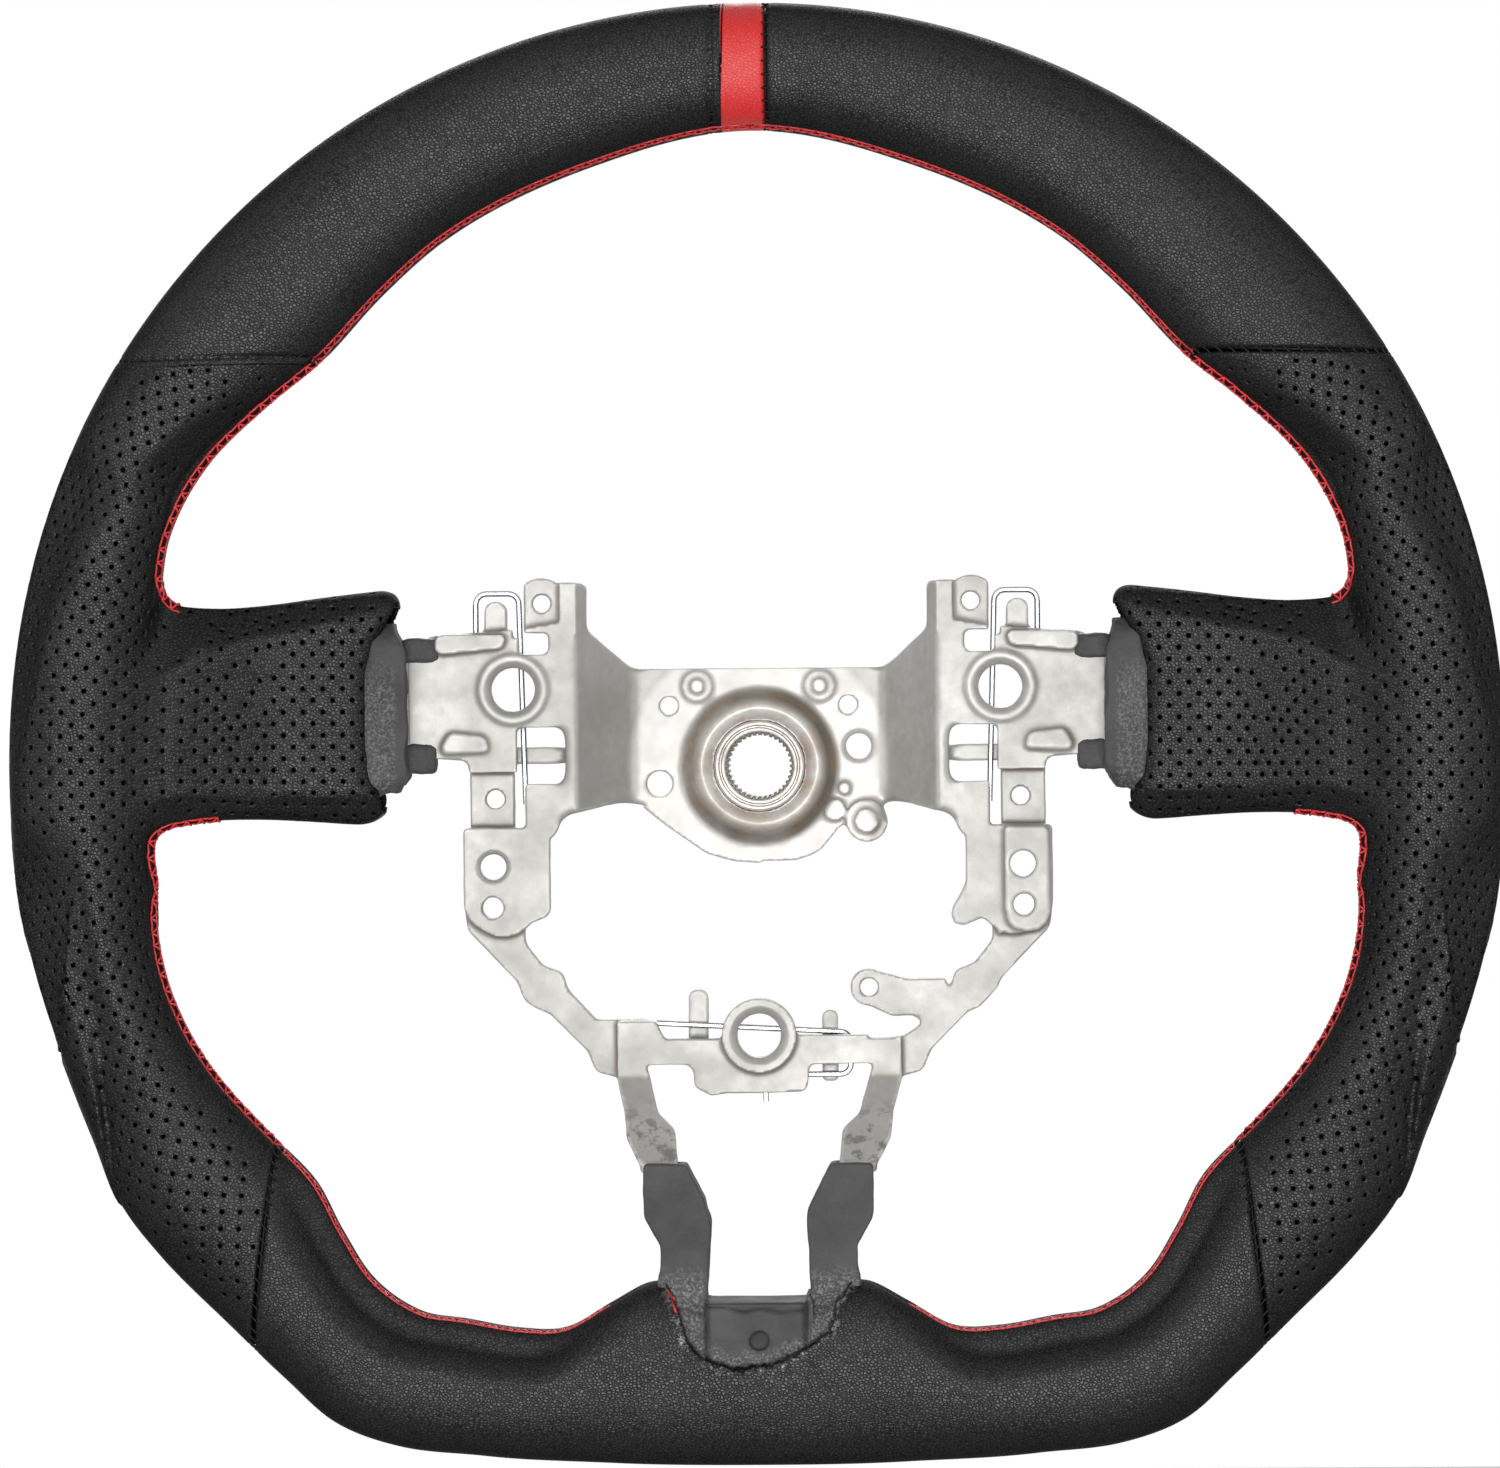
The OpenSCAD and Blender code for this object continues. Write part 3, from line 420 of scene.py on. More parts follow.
# ---------------------------------------------------------------- grips: rim, spoke and relief as one surface
# pairs of [x, value] along the spoke: its upper and lower edge, its front and back from the rim's middle
SPOKE_END_X = _grip_low[0]
SPOKE_TOP = [[86, 44.4], [96, 43.6], [108, 42.2], [120, 40.6], [132, 39.8], [144, 41], [160, 46]]
SPOKE_LOW = [[86, -13.2], [98, -13.6], [110, -12.8], [122, -12.2], [134, -12.4], [144, -14], [160, -18]]
SPOKE_FRONT = [[86, 3.0], [116, 1.0], [132, -4.0], [142, -8.0], [151, -10.0], [162, -8.0]]
SPOKE_BACK = [[86, 28.0], [116, 27.0], [132, 25.0], [142, 18.0], [151, 14.0], [162, 12.0]]
# where the leather of the spoke ends, as pairs of [z, x]
SPOKE_CUT = [[-18, 95.5], [-14.5, 93.2], [-11, 91.4], [-7, 91.9], [-2, 94.2], [6, 95.0], [24, 94.9],
             [31, 92.8], [36, 89.8], [40, 88.0], [46, 87.4]]
SPOKE_CORNER = 9.0
SECTION_N = 2 / SECTION_POWER

# lines of the relief on the right-hand grip, as points in X and Z
PLATEAU_EDGE = [(84, 39.5), (100.7, 36.2), (134.2, 29.4), (151.0, 17.2), (160.8, 1.5), (164.6, -16.1),
                (166, -30)]
OUTER_CREASE = [(146, 80), (152.3, 68.3), (159.4, 57.7), (167.5, 42), (171.9, 28), (176.4, 10.4), (178, -4)]
NOTCH_CREASE = [(108, 98), (123, 91), (135, 85), (143, 79.3), (149.4, 75.3), (156, 68)]
LOWER_CREASE = [(165.5, -6), (163.5, -20), (161.2, -32), (159.0, -48.9), (148.8, -73.4), (139.9, -84.4),
                (130, -94)]


def slice_at(x):
    """Lower and upper edge, front and back of the spoke at x."""
    return [key_at(keys, np.clip(x, keys[0][0], keys[-1][0])) for keys in
            (SPOKE_LOW, SPOKE_TOP, SPOKE_FRONT, SPOKE_BACK)]


def spoke_cut(z):
    """X at which the leather of the spoke ends."""
    return np.interp(z, *np.array(SPOKE_CUT).T)


def rim_field(x, y, z):
    """Signed distance to the plain rim, good near its surface."""
    p = clock_angle(x, z)
    outer, inner, b = rim_out(p), rim_in(p), half_depth(p)
    mid, a = (outer + inner) / 2, (outer - inner) / 2
    gx, gy = (np.hypot(x, z) - mid) / a, (y - RIM_Y) / b
    n = SECTION_N
    level = np.maximum((np.abs(gx) ** n + np.abs(gy) ** n) ** (1 / n), 0.05)
    sx = (np.abs(gx) / level) ** (n - 1) / a
    sy = (np.abs(gy) / level) ** (n - 1) / b
    return (level - 1) / np.hypot(sx, sy)


def rim_relief(x, z):
    """Inset of the front of the rim inside the grips."""
    notch, share = line_side(x, z, NOTCH_CREASE)
    fade = smooth_step(97, 86, z) * smooth_step(0.98, 0.7, share)
    out = 0.6 * fade * soft_plus(notch, 1.0)
    crease, share = line_side(x, z, OUTER_CREASE)
    fade = smooth_step(0.05, 0.3, share) * smooth_step(1.0, 0.7, share)
    out = out + 0.7 * fade * soft_plus(-crease, 0.6)
    ridge, share = line_side(x, z, LOWER_CREASE)
    fade = smooth_step(0.02, 0.25, share) * smooth_step(1.0, 0.45, share)
    out = out + fade * (0.42 * soft_plus(-ridge, 0.6) + 0.25 * soft_plus(ridge - 8.5, 2.0))
    return out


def spoke_field(x, y, z):
    low, high, front, back = slice_at(x)
    cz, hz = (low + high) / 2, (high - low) / 2
    cy, hy = RIM_Y + (front + back) / 2, (back - front) / 2
    qz, qy = np.abs(z - cz) - hz + SPOKE_CORNER, np.abs(y - cy) - hy + SPOKE_CORNER
    side = np.hypot(np.maximum(qz, 0), np.maximum(qy, 0)) + np.minimum(np.maximum(qz, qy), 0) - SPOKE_CORNER
    side = np.maximum(side, x - RIM_R + 18)
    # bevels along the upper and lower edge of the front face
    edge, _ = line_side(x, z, PLATEAU_EDGE)
    face = RIM_Y + np.interp(x, [88, 116, 132, 151, 165], [3, 1, -4, -12.5, -15.0])
    face = face + 0.85 * soft_plus(-edge, 0.6) + 0.75 * soft_plus(-5.5 - z, 0.7) * smooth_step(162, 140, x)
    front_face = (face - y) * 0.85
    return np.maximum(side, front_face), front_face


def smooth_min(a, b, k):
    h = np.clip(0.5 + 0.5 * (b - a) / k, 0, 1)
    return b + (a - b) * h - k * h * (1 - h)


def grip_field(x, y, z):
    """Signed distance to the leather of the right-hand grip."""
    w = smooth_step(0.15, 0.8, -(y - RIM_Y) / RIM_HALF_DEPTH)
    rim = rim_field(x, y, z) + rim_relief(x, z) * w
    side, front_face = spoke_field(x, y, z)
    body = smooth_min(rim, side, 6.5)
    # the flat of the spoke runs out onto the rim
    tongue = np.maximum(front_face, rim_field(x, y, z) - 0.2)
    body = smooth_min(body, tongue, 1.6)
    end = spoke_cut(z) - x
    k = 5.5
    h = np.clip(0.5 - 0.5 * (end - body) / k, 0, 1)
    return end + (body - end) * h + k * h * (1 - h)


def gradient(field, q):
    e = 0.05
    g = np.empty_like(q)
    for i in range(3):
        d = np.zeros(3)
        d[i] = e
        g[:, i] = (field(*(q + d).T) - field(*(q - d).T)) / (2 * e)
    return g


def project(field, q, steps):
    """Moves points onto the zero level of a field."""
    for _ in range(steps):
        f, g = field(*q.T), gradient(field, q)
        q = q - (f / np.maximum((g ** 2).sum(1), 0.2))[:, None] * g
    return q


def surface_net(field, low, high, cell):
    """Quads around the zero level of a field."""
    axes = [np.arange(a, b + cell, cell) for a, b in zip(low, high)]
    grid = np.meshgrid(*axes, indexing="ij")
    f = field(*grid)
    inside = f < 0
    shape = np.array(f.shape) - 1
    total, count = np.zeros((*shape, 3)), np.zeros(tuple(shape))

    def corner(arr, o):
        return arr[o[0]:o[0] + shape[0], o[1]:o[1] + shape[1], o[2]:o[2] + shape[2]]

    for axis in range(3):
        others = [i for i in range(3) if i != axis]
        for s in (0, 1):
            for t in (0, 1):
                o = [0, 0, 0]
                o[others[0]], o[others[1]] = s, t
                e = list(o)
                e[axis] = 1
                f0, f1 = corner(f, o), corner(f, e)
                hit = corner(inside, o) != corner(inside, e)
                with np.errstate(all="ignore"):
                    share = np.where(hit, f0 / (f0 - f1), 0)
                place = np.zeros((*shape, 3)) + o
                place[..., axis] += share
                total += place * hit[..., None]
                count += hit
    used = count > 0
    index = np.full(tuple(shape), -1)
    index[used] = np.arange(used.sum())
    cells = np.argwhere(used)
    points = np.array(low) + (cells + total[used] / count[used][:, None]) * cell
    quads = []
    for axis in range(3):
        b, c = [(1, 2), (2, 0), (0, 1)][axis]
        first = inside.take(range(0, inside.shape[axis] - 1), axis)
        second = inside.take(range(1, inside.shape[axis]), axis)
        for i, j, k in np.argwhere(first != second):
            at = [i, j, k]
            if at[b] == 0 or at[c] == 0 or at[b] >= shape[b] or at[c] >= shape[c]:
                continue
            ids = []
            for db, dc in ((-1, -1), (0, -1), (0, 0), (-1, 0)):
                o = list(at)
                o[b] += db
                o[c] += dc
                ids.append(index[tuple(o)])
            quads.append(ids if first[i, j, k] else ids[::-1])
    return points, np.array(quads)


# ---------------------------------------------------------------- grips: mesh, perforations, sewn edges
GRIP_CELL = 0.947
HOLE_PITCH, ROW_PITCH = 4.8, 2.84
HOLE_MISS, HOLE_GAP = 0.95, 2.7   # a vertex lies this near to its hole, and holes this far apart
SEAM_ROOM, LACE_ROOM, END_ROOM = 2.6, 3.4, 1.6   # leather without holes beside seams, lacing and end
HOLE_MOVE = 0.62   # farthest that a hole is moved from its vertex
RING_REACH = 0.86   # farthest that a hole's ring of vertices stays from its middle
HOLE_RINGS = [(0.62, 0.10), (0.52, 0.62), (0.30, 0.86)]


def section_turn(x, y, z):
    """Section angle of points near the rim: 0 outside, -90 in front."""
    p = clock_angle(x, z)
    outer, inner = rim_out(p), rim_in(p)
    gx = (np.hypot(x, z) - (outer + inner) / 2) / ((outer - inner) / 2)
    gy = (y - RIM_Y) / half_depth(p)
    power = 1 / SECTION_POWER
    return np.degrees(np.arctan2(np.sign(gy) * np.abs(gy) ** power, np.sign(gx) * np.abs(gx) ** power))


def leather_field(x, y, z):
    """The grip's field with the lacing's channel pressed in."""
    p = clock_angle(x, z)
    inset = lace_groove(p, section_turn(x, y, z)) * smooth_step(0.0, 3.0, np.abs(z - 13.5) - 27.0)
    return grip_field(x, y, z) + inset


def arc_table():
    """Length along the section from its crest, as a share of its mean half width, for turns from 0 to 180."""
    t = np.radians(np.linspace(0, 180, 361))
    return np.degrees(t), running_length(np.stack([soft(np.sin(t)), soft(np.cos(t))], -1))


ARC_TURN, ARC_LENGTH = arc_table()


def perforation_chart(q):
    """Coordinates along which the holes are spaced: s along the rim, v across it, and whether in front."""
    x, y, z = q.T
    rho = np.hypot(x, z)
    p = clock_angle(x, z)
    turn = section_turn(x, y, z)
    crest = np.where(turn < 0, -90.0, 90.0)
    off = np.mod(np.where(turn < 0, crest - turn, turn - crest) + 180, 360) - 180
    v_rim = np.sign(off) * np.interp(np.abs(off), ARC_TURN, ARC_LENGTH) * 15.6
    s_rim = np.radians(90 - p) * 165
    low, high, front_y, back_y = slice_at(x)
    middle = RIM_Y + (front_y + back_y) / 2
    wrap = np.clip((back_y - front_y) / 2 - np.abs(y - middle), 0, 30) - 4.0
    off_middle = z - (low + high) / 2
    past_edge = np.abs(off_middle) > (high - low) / 2 - 6
    s_spoke = z + np.sign(off_middle) * np.clip(wrap, 0, 30) * past_edge
    v_spoke = 166 - x
    w = smooth_step(118, 146, rho)
    s = s_spoke * (1 - w) + s_rim * w
    v = v_spoke * (1 - w) + v_rim * w
    on_front = np.where(rho > 140, turn < 0, y < middle)
    return s, v, on_front


def seam_reach(q):
    """Distance of points of the right-hand grip from the nearer of its two seams."""
    lower = np.where(q[:, 2] < -50, seam_distance("right_lower", q[:, 0], q[:, 2]), 99.0)
    return np.minimum(-seam_distance("upper", q[:, 0], q[:, 2]), lower)


def quads_around(count, quads):
    """For each vertex, the other three corners of every quad around it."""
    around = [[] for _ in range(count)]
    for q in quads.tolist():
        for i in range(4):
            around[q[i]].append((q[(i + 1) % 4], q[(i + 2) % 4], q[(i + 3) % 4]))
    return around


def ring_of(corner_quads):
    """The eight vertices around a vertex with four quads, in order, or None."""
    step = {a: (m, b) for a, m, b in corner_quads}
    start = corner_quads[0][0]
    ring, at = [], start
    for _ in range(4):
        if at not in step:
            return None
        m, b = step[at]
        ring += [at, m]
        at = b
    return ring if at == start else None


def spaced_out(points, order, gap):
    """Picks from the ordered points those that lie at least `gap` from every one picked before."""
    cells = {}
    for i in order:
        cell = np.floor(points[i] / 3.0).astype(int)
        near = [j for step in np.ndindex(3, 3, 3) for j in cells.get(tuple(cell + step - 1), ())]
        if all(np.linalg.norm(points[j] - points[i]) >= gap for j in near):
            cells.setdefault(tuple(cell), []).append(i)
            yield i


def hole_sites(points, quads):
    """Vertices that take a hole, each with its ring, the chart, and the way from each vertex to its hole."""
    s, v, front = perforation_chart(points)
    row = np.round(s / ROW_PITCH)
    shift = np.where(np.mod(row, 2) > 0.5, HOLE_PITCH / 2, 0.0)
    col = np.round((v - shift) / HOLE_PITCH)
    way = np.stack([row * ROW_PITCH - s, col * HOLE_PITCH + shift - v], -1)
    miss = np.hypot(*way.T)
    x, _, z = points.T
    lace = np.abs(lace_reach(clock_angle(x, z), section_turn(*points.T)))
    near_lace = (lace < LACE_ROOM) & (np.hypot(x, z) > 120) & (np.abs(z - 15.5) > 27)
    fit = (miss < HOLE_MISS) & (seam_reach(points) > SEAM_ROOM) & ~near_lace & (x > spoke_cut(z) + END_ROOM)
    around = quads_around(len(points), quads)
    best = {}
    for i in np.nonzero(fit)[0].tolist():
        key = (int(row[i]), int(col[i]), bool(front[i]))
        if len(around[i]) == 4 and (key not in best or miss[i] < miss[best[key]]):
            best[key] = i
    order = [i for i in sorted(best.values(), key=lambda i: miss[i]) if ring_of(around[i])]
    return [(i, ring_of(around[i])) for i in spaced_out(points, order, HOLE_GAP)], np.stack([s, v], -1), way


def perforate(points, quads, normals):
    """Presses the small round holes into the surface. Returns points, faces and the number of holes."""
    sites, chart, way = hole_sites(points, quads)
    points = points.copy()
    centres = {i for i, _ in sites}
    faces = [q for q in quads.tolist() if not centres.intersection(q)]
    extra, base, used = [], len(points), set()
    for i, ring in sites:
        n = normals[i]
        near = np.array(ring)
        rel = points[near] - points[i]
        rel = rel - (rel @ n)[:, None] * n
        slope, *_ = np.linalg.lstsq(rel, chart[near] - chart[i], rcond=None)
        move = np.linalg.pinv(slope.T) @ way[i]
        move *= min(1.0, HOLE_MOVE / np.linalg.norm(move))
        c = points[i] + move
        for k in ring:
            if k in used:
                continue
            lift = (points[k] - c) @ n
            d = points[k] - c - lift * n
            length = np.linalg.norm(d)
            points[k] = c + d / length * min(length, RING_REACH) + n * lift * 0.5
        used.update(ring)
        first = points[ring[0]] - c
        first = first - (first @ n) * n
        a = first / np.linalg.norm(first)
        b = np.cross(n, a)
        turn_way = 1.0 if (points[ring[2]] - c) @ b > 0 else -1.0
        angles = turn_way * np.arange(8) * math.pi / 4
        last = list(ring)
        for r, depth in HOLE_RINGS:
            ids = list(range(base + len(extra), base + len(extra) + 8))
            extra += [c + r * (math.cos(t) * a + math.sin(t) * b) - n * depth for t in angles]
            faces += [(last[k], last[(k + 1) % 8], ids[(k + 1) % 8], ids[k]) for k in range(8)]
            last = ids
        middle = base + len(extra)
        extra.append(c - n * (HOLE_RINGS[-1][1] + 0.06))
        faces += [(last[k], last[k + 1], last[(k + 2) % 8], middle) for k in range(0, 8, 2)]
    return np.vstack([points, extra]), faces, len(sites)


def sew_edges(bm, planes):
    """Cuts a mesh at the planes (point, normal away from the piece, side) and adds loops beside each cut."""
    for point, normal, side in planes:
        for back in SEAM_ROWS[::-1]:
            at = Vector(point) - Vector(normal) * back
            faces = [f for f in bm.faces if side * f.calc_center_median().z > 60]
            verts, edges = {v for f in faces for v in f.verts}, {e for f in faces for e in f.edges}
            bmesh.ops.bisect_plane(bm, geom=list(verts) + list(edges) + faces, dist=1e-4, plane_co=at,
                                   plane_no=normal, clear_outer=back == 0)


def relax(points, quads, field, rounds):
    ends = np.vstack([quads[:, [0, 1]], quads[:, [1, 2]], quads[:, [2, 3]], quads[:, [3, 0]]])
    count = np.bincount(ends[:, 0], minlength=len(points))
    for _ in range(rounds):
        total = np.stack([np.bincount(ends[:, 0], weights=points[ends[:, 1], i], minlength=len(points))
                          for i in range(3)], -1)
        inner = count >= 3
        points[inner] += 0.5 * (total[inner] / count[inner][:, None] - points[inner])
        points = project(field, points, 1)
    return points


END_LIP = 3.4


def leather_normals(q):
    return unit(gradient(leather_field, q))


def behind_spoke_end(f):
    """Whether a face lies in the opening at the spoke's end, whose edge is folded and cut by hand."""
    c = f.calc_center_median()
    if c.x >= spoke_cut(c.z) + 0.6:
        return False
    low, high, front, back = slice_at(c.x)
    a = math.atan2(c.y - RIM_Y - (front + back) / 2, c.z - (low + high) / 2)
    lip = END_LIP + 0.7 * math.sin(5 * a + 1) + 0.45 * math.sin(11 * a) + 0.3 * math.sin(23 * a + 2)
    return low + lip < c.z < high - lip and RIM_Y + front + lip < c.y < RIM_Y + back - lip


def grip_points():
    """Points and faces of the right-hand grip, perforated, cut at its seams and open at the spoke's end."""
    low = (SPOKE_END_X - 2.5, RIM_Y - 22, -150)
    high = (RIM_R + 5, RIM_Y + 33, 104)
    points, quads = surface_net(leather_field, low, high, GRIP_CELL)
    points = project(leather_field, points, 3)
    points = relax(points, quads, leather_field, 2)
    points, faces, count = perforate(points, quads, leather_normals(points))
    print("perforations", count)
    bm = bmesh.new()
    verts = [bm.verts.new(p) for p in points]
    for f in faces:
        try:
            bm.faces.new([verts[i] for i in f])
        except ValueError:
            pass   # a face that is there already
    bm.verts.index_update()
    planes = []
    for name, sign in (("upper", 1), ("right_lower", -1)):
        (nx, nz), d = SEAMS[name]
        at = (nx * (d - sign * GAP), RIM_Y, nz * (d - sign * GAP))
        planes.append((at, (sign * nx, 0.0, sign * nz), sign))
    sew_edges(bm, planes)
    bmesh.ops.delete(bm, geom=[f for f in bm.faces if behind_spoke_end(f)], context="FACES")
    bmesh.ops.delete(bm, geom=[v for v in bm.verts if not v.link_faces], context="VERTS")
    # the leather turns in at its seams
    q = np.array([v.co for v in bm.verts])
    moved = q - leather_normals(q) * curl(np.maximum(seam_reach(q) - GAP, 0))[:, None]
    for v, co in zip(bm.verts, moved):
        v.co = co
    # and shows its thickness at its open edges
    edges = [e for e in bm.edges if e.is_boundary]
    new = bmesh.ops.extrude_edge_only(bm, edges=edges)["geom"]
    fresh = [g for g in new if isinstance(g, bmesh.types.BMVert)]
    q = np.array([v.co for v in fresh])
    n = leather_normals(q)
    at_end = q[:, 0] < spoke_cut(q[:, 2]) + 3
    n[at_end] = (-1, 0, 0)
    for v, co, m, flat in zip(fresh, q, n, at_end):
        v.co = Vector(co) - Vector(m) * (1.5 if flat else 1.2)
    return bm_arrays(bm)


# ---------------------------------------------------------------- materials
class Nodes:
    """Small helper to write node trees."""

    def __init__(self, name):
        self.mat = bpy.data.materials.new(name)
        self.mat.use_nodes = True
        self.tree = self.mat.node_tree
        self.shader = self.tree.nodes["Principled BSDF"]
        self.coords = self.tree.nodes.new("ShaderNodeTexCoord").outputs["Object"]

    def link(self, a, b):
        self.tree.links.new(a, b)

    def texture(self, kind, vector, **sockets):
        n = self.tree.nodes.new(kind)
        for name, value in sockets.items():
            n.inputs[name].default_value = value
        self.link(vector or self.coords, n.inputs["Vector"])
        return n

    def noise(self, scale, detail=4.0, rough=0.55):
        n = self.texture("ShaderNodeTexNoise", None, Scale=scale, Detail=detail, Roughness=rough)
        return n.outputs["Fac"]

    def cells(self, scale, feature="DISTANCE_TO_EDGE", vector=None):
        n = self.texture("ShaderNodeTexVoronoi", vector, Scale=scale)
        n.feature = feature
        return n.outputs["Distance"]

    def stretch(self, scale):
        n = self.tree.nodes.new("ShaderNodeMapping")
        n.inputs["Scale"].default_value = scale
        self.link(self.coords, n.inputs["Vector"])
        return n.outputs["Vector"]

    def steps(self, value, *stops):
        """Maps a value through (position, level) stops."""
        n = self.tree.nodes.new("ShaderNodeValToRGB")
        ramp = n.color_ramp
        while len(ramp.elements) < len(stops):
            ramp.elements.new(0.5)
        for element, (at, level) in zip(ramp.elements, stops):
            element.position = at
            element.color = (*level, 1) if np.ndim(level) else (level, level, level, 1)
        self.link(value, n.inputs["Fac"])
        return n.outputs["Color"]

    def feed(self, *pairs):
        """Sets each socket to its number or colour, or links it."""
        for socket, value in pairs:
            if isinstance(value, tuple):
                value = (*value, 1) if len(value) == 3 else value
            if isinstance(value, (int, float, tuple)):
                socket.default_value = value
            else:
                self.link(value, socket)

    def math(self, op, a, b):
        n = self.tree.nodes.new("ShaderNodeMath")
        n.operation = op
        self.feed((n.inputs[0], a), (n.inputs[1], b))
        return n.outputs[0]

    def times(self, a, b):
        return self.math("MULTIPLY", a, b)

    def mix(self, share, a, b):
        n = self.tree.nodes.new("ShaderNodeMix")
        n.data_type = "RGBA"
        self.feed((n.inputs[0], share), (n.inputs[6], a), (n.inputs[7], b))
        return n.outputs[2]

    def attribute(self, name):
        n = self.tree.nodes.new("ShaderNodeAttribute")
        n.attribute_name = name
        return n.outputs["Fac"]

    def place(self, axis):
        n = self.tree.nodes.new("ShaderNodeSeparateXYZ")
        self.link(self.coords, n.inputs[0])
        return n.outputs[axis]

    def bump(self, height, distance, strength=1.0):
        n = self.tree.nodes.new("ShaderNodeBump")
        self.feed((n.inputs["Distance"], distance), (n.inputs["Strength"], strength),
                  (n.inputs["Height"], height))
        if self.shader.inputs["Normal"].is_linked:
            self.link(self.shader.inputs["Normal"].links[0].from_socket, n.inputs["Normal"])
        self.link(n.outputs["Normal"], self.shader.inputs["Normal"])

    def set(self, name, value):
        self.feed((self.shader.inputs[name], value))


def leather(name, dark, light, rough=(0.40, 0.52), grain=0.00006, scale=1150.0, polish=0.0):
    """Grained leather. The polish is the share of its shine that stays even at flat angles of view."""
    m = Nodes(name)
    patch = m.noise(55, 3)
    pebble = m.cells(scale, vector=m.stretch((1.0, 1.0, 1.25)))
    hole_shade = m.attribute("hole_shade")
    wrinkle = m.math("ADD", m.steps(pebble, (0.0, 0.0), (0.3, 0.8)), m.times(patch, 0.3))
    base = m.mix(m.steps(wrinkle, (0.05, 0.0), (0.75, 1.0)), dark, light)
    frayed = m.times(m.attribute("cut"), m.steps(m.noise(900, 4, 0.7), (0.45, 0.0), (0.6, 1.0)))
    base = m.mix(frayed, base, (0.2, 0.19, 0.185))
    # painted shade: the inside of each perforation is painted near black
    m.set("Base Color", m.mix(hole_shade, base, (0.0012, 0.0012, 0.0012)))
    m.set("Roughness", m.steps(m.noise(160, 3), (0.3, rough[0]), (0.7, rough[1])))
    if polish:
        m.set("Metallic", m.steps(hole_shade, (0.0, polish), (0.8, 0.0)))
        m.set("Specular Tint", (0.1, 0.1, 0.1, 1.0))
        m.set("Specular IOR Level", 0.02)
    m.bump(m.steps(pebble, (0.0, 0.0), (0.25, 0.8), (0.6, 1.0)), grain, 1.0)
    m.bump(m.noise(3200, 2), grain * 0.5, 0.5)
    m.bump(m.noise(42, 3), 0.0003, 0.3)
    return m.mat


def thread(name, dark, light, rough=0.45, specular=0.5):
    m = Nodes(name)
    twist = m.noise(1500, 2)
    m.set("Base Color", m.mix(m.steps(twist, (0.35, 0.0), (0.65, 1.0)), dark, light))
    m.set("Roughness", rough)
    m.set("Specular IOR Level", specular)
    m.bump(m.cells(2600, "F1"), 0.0001, 0.6)
    return m.mat


RING_SCALE = 30.0   # brings the hub's radii, in metres, to 0 to 1


def cast_metal():
    m = Nodes("cast_metal_look")
    fine = m.noise(420, 4, 0.6)
    base = m.mix(m.steps(m.noise(26, 5, 0.6), (0.35, 0.0), (0.68, 1.0)),
                 (0.33, 0.322, 0.305), (0.45, 0.44, 0.423))
    base = m.mix(m.steps(fine, (0.25, 0.55), (0.6, 0.0)), base, (0.31, 0.30, 0.28))
    base = m.mix(m.steps(m.cells(240, "F1"), (0.02, 0.6), (0.06, 0.0)), base, (0.22, 0.2, 0.18))
    # painted shade darkens the corners and a painted highlight brightens the edges
    relief_shading = m.attribute("relief_shading")
    base = m.mix(m.steps(relief_shading, (0.5, 0.0), (0.8, 0.75)), base, (0.20, 0.175, 0.145))
    base = m.mix(m.steps(relief_shading, (0.2, 0.7), (0.42, 0.0)), base, (0.62, 0.61, 0.59))
    # rings round the column: a painted highlight on the hub plate, painted shade in the groove of the bowl,
    # and the bowl's rust
    x, z = m.place(0), m.place(2)
    ring = m.times(m.math("POWER", m.math("ADD", m.times(x, x), m.times(z, z)), 0.5), RING_SCALE)
    plate_highlight = m.steps(ring, (0.3, 0.8), (0.45, 0.8), (0.5, 0.4), (0.7, 0.6), (0.94, 0.45), (1.0, 0.0))
    base = m.mix(plate_highlight, base, (0.68, 0.665, 0.64))
    # painted shade: near black in the groove of the bowl, patchy and stronger towards +X
    groove_shade = m.steps(ring, (0.46, 0.0), (0.525, 1.0), (0.57, 0.9), (0.63, 0.0))
    uneven = m.steps(m.math("ADD", m.noise(60, 4), m.times(x, 8.0)), (0.35, 0.3), (0.6, 0.85))
    base = m.mix(m.times(groove_shade, uneven), base, (0.085, 0.072, 0.055))
    bowl = m.steps(ring, (0.34, 1.0), (0.385, 0.55), (0.49, 0.5), (0.545, 0.95), (0.6, 0.2), (0.85, 0.0))
    rust = m.times(bowl, m.steps(m.noise(150, 5, 0.65), (0.42, 0.0), (0.62, 1.0)))
    base = m.mix(m.times(rust, 0.7), base, (0.30, 0.19, 0.10))
    # darker blotches on the casting towards the bottom, at the feet
    low = m.steps(m.times(m.math("ADD", m.times(z, -1.0), -0.078), 60.0), (0.1, 0.0), (0.6, 1.0))
    low_blotches = m.times(low, m.steps(m.noise(210, 4, 0.7), (0.5, 0.0), (0.6, 1.0)))
    base = m.mix(m.times(low_blotches, 0.75), base, (0.12, 0.115, 0.11))
    m.set("Base Color", base)
    m.set("Metallic", 0.35)
    m.set("Roughness", m.steps(m.noise(90, 4), (0.3, 0.42), (0.7, 0.58)))
    m.bump(fine, 0.00012, 0.5)
    m.bump(m.noise(1800, 2), 0.00004, 0.6)
    return m.mat


def steel(name, dark, light, rough, rust=0.0, grain=0.00003, metallic=0.95):
    m = Nodes(name)
    base = m.mix(m.steps(m.noise(60, 4), (0.35, 0.0), (0.65, 1.0)), dark, light)
    base = m.mix(m.steps(m.noise(700, 4, 0.7), (0.5, 0.0), (0.72, rust)), base, (0.23, 0.12, 0.06))
    m.set("Base Color", base)
    m.set("Metallic", metallic)
    m.set("Roughness", m.steps(m.noise(300, 3), (0.3, rough * 0.8), (0.7, rough * 1.2)))
    m.bump(m.noise(1500, 3), grain, 0.6)
    return m.mat


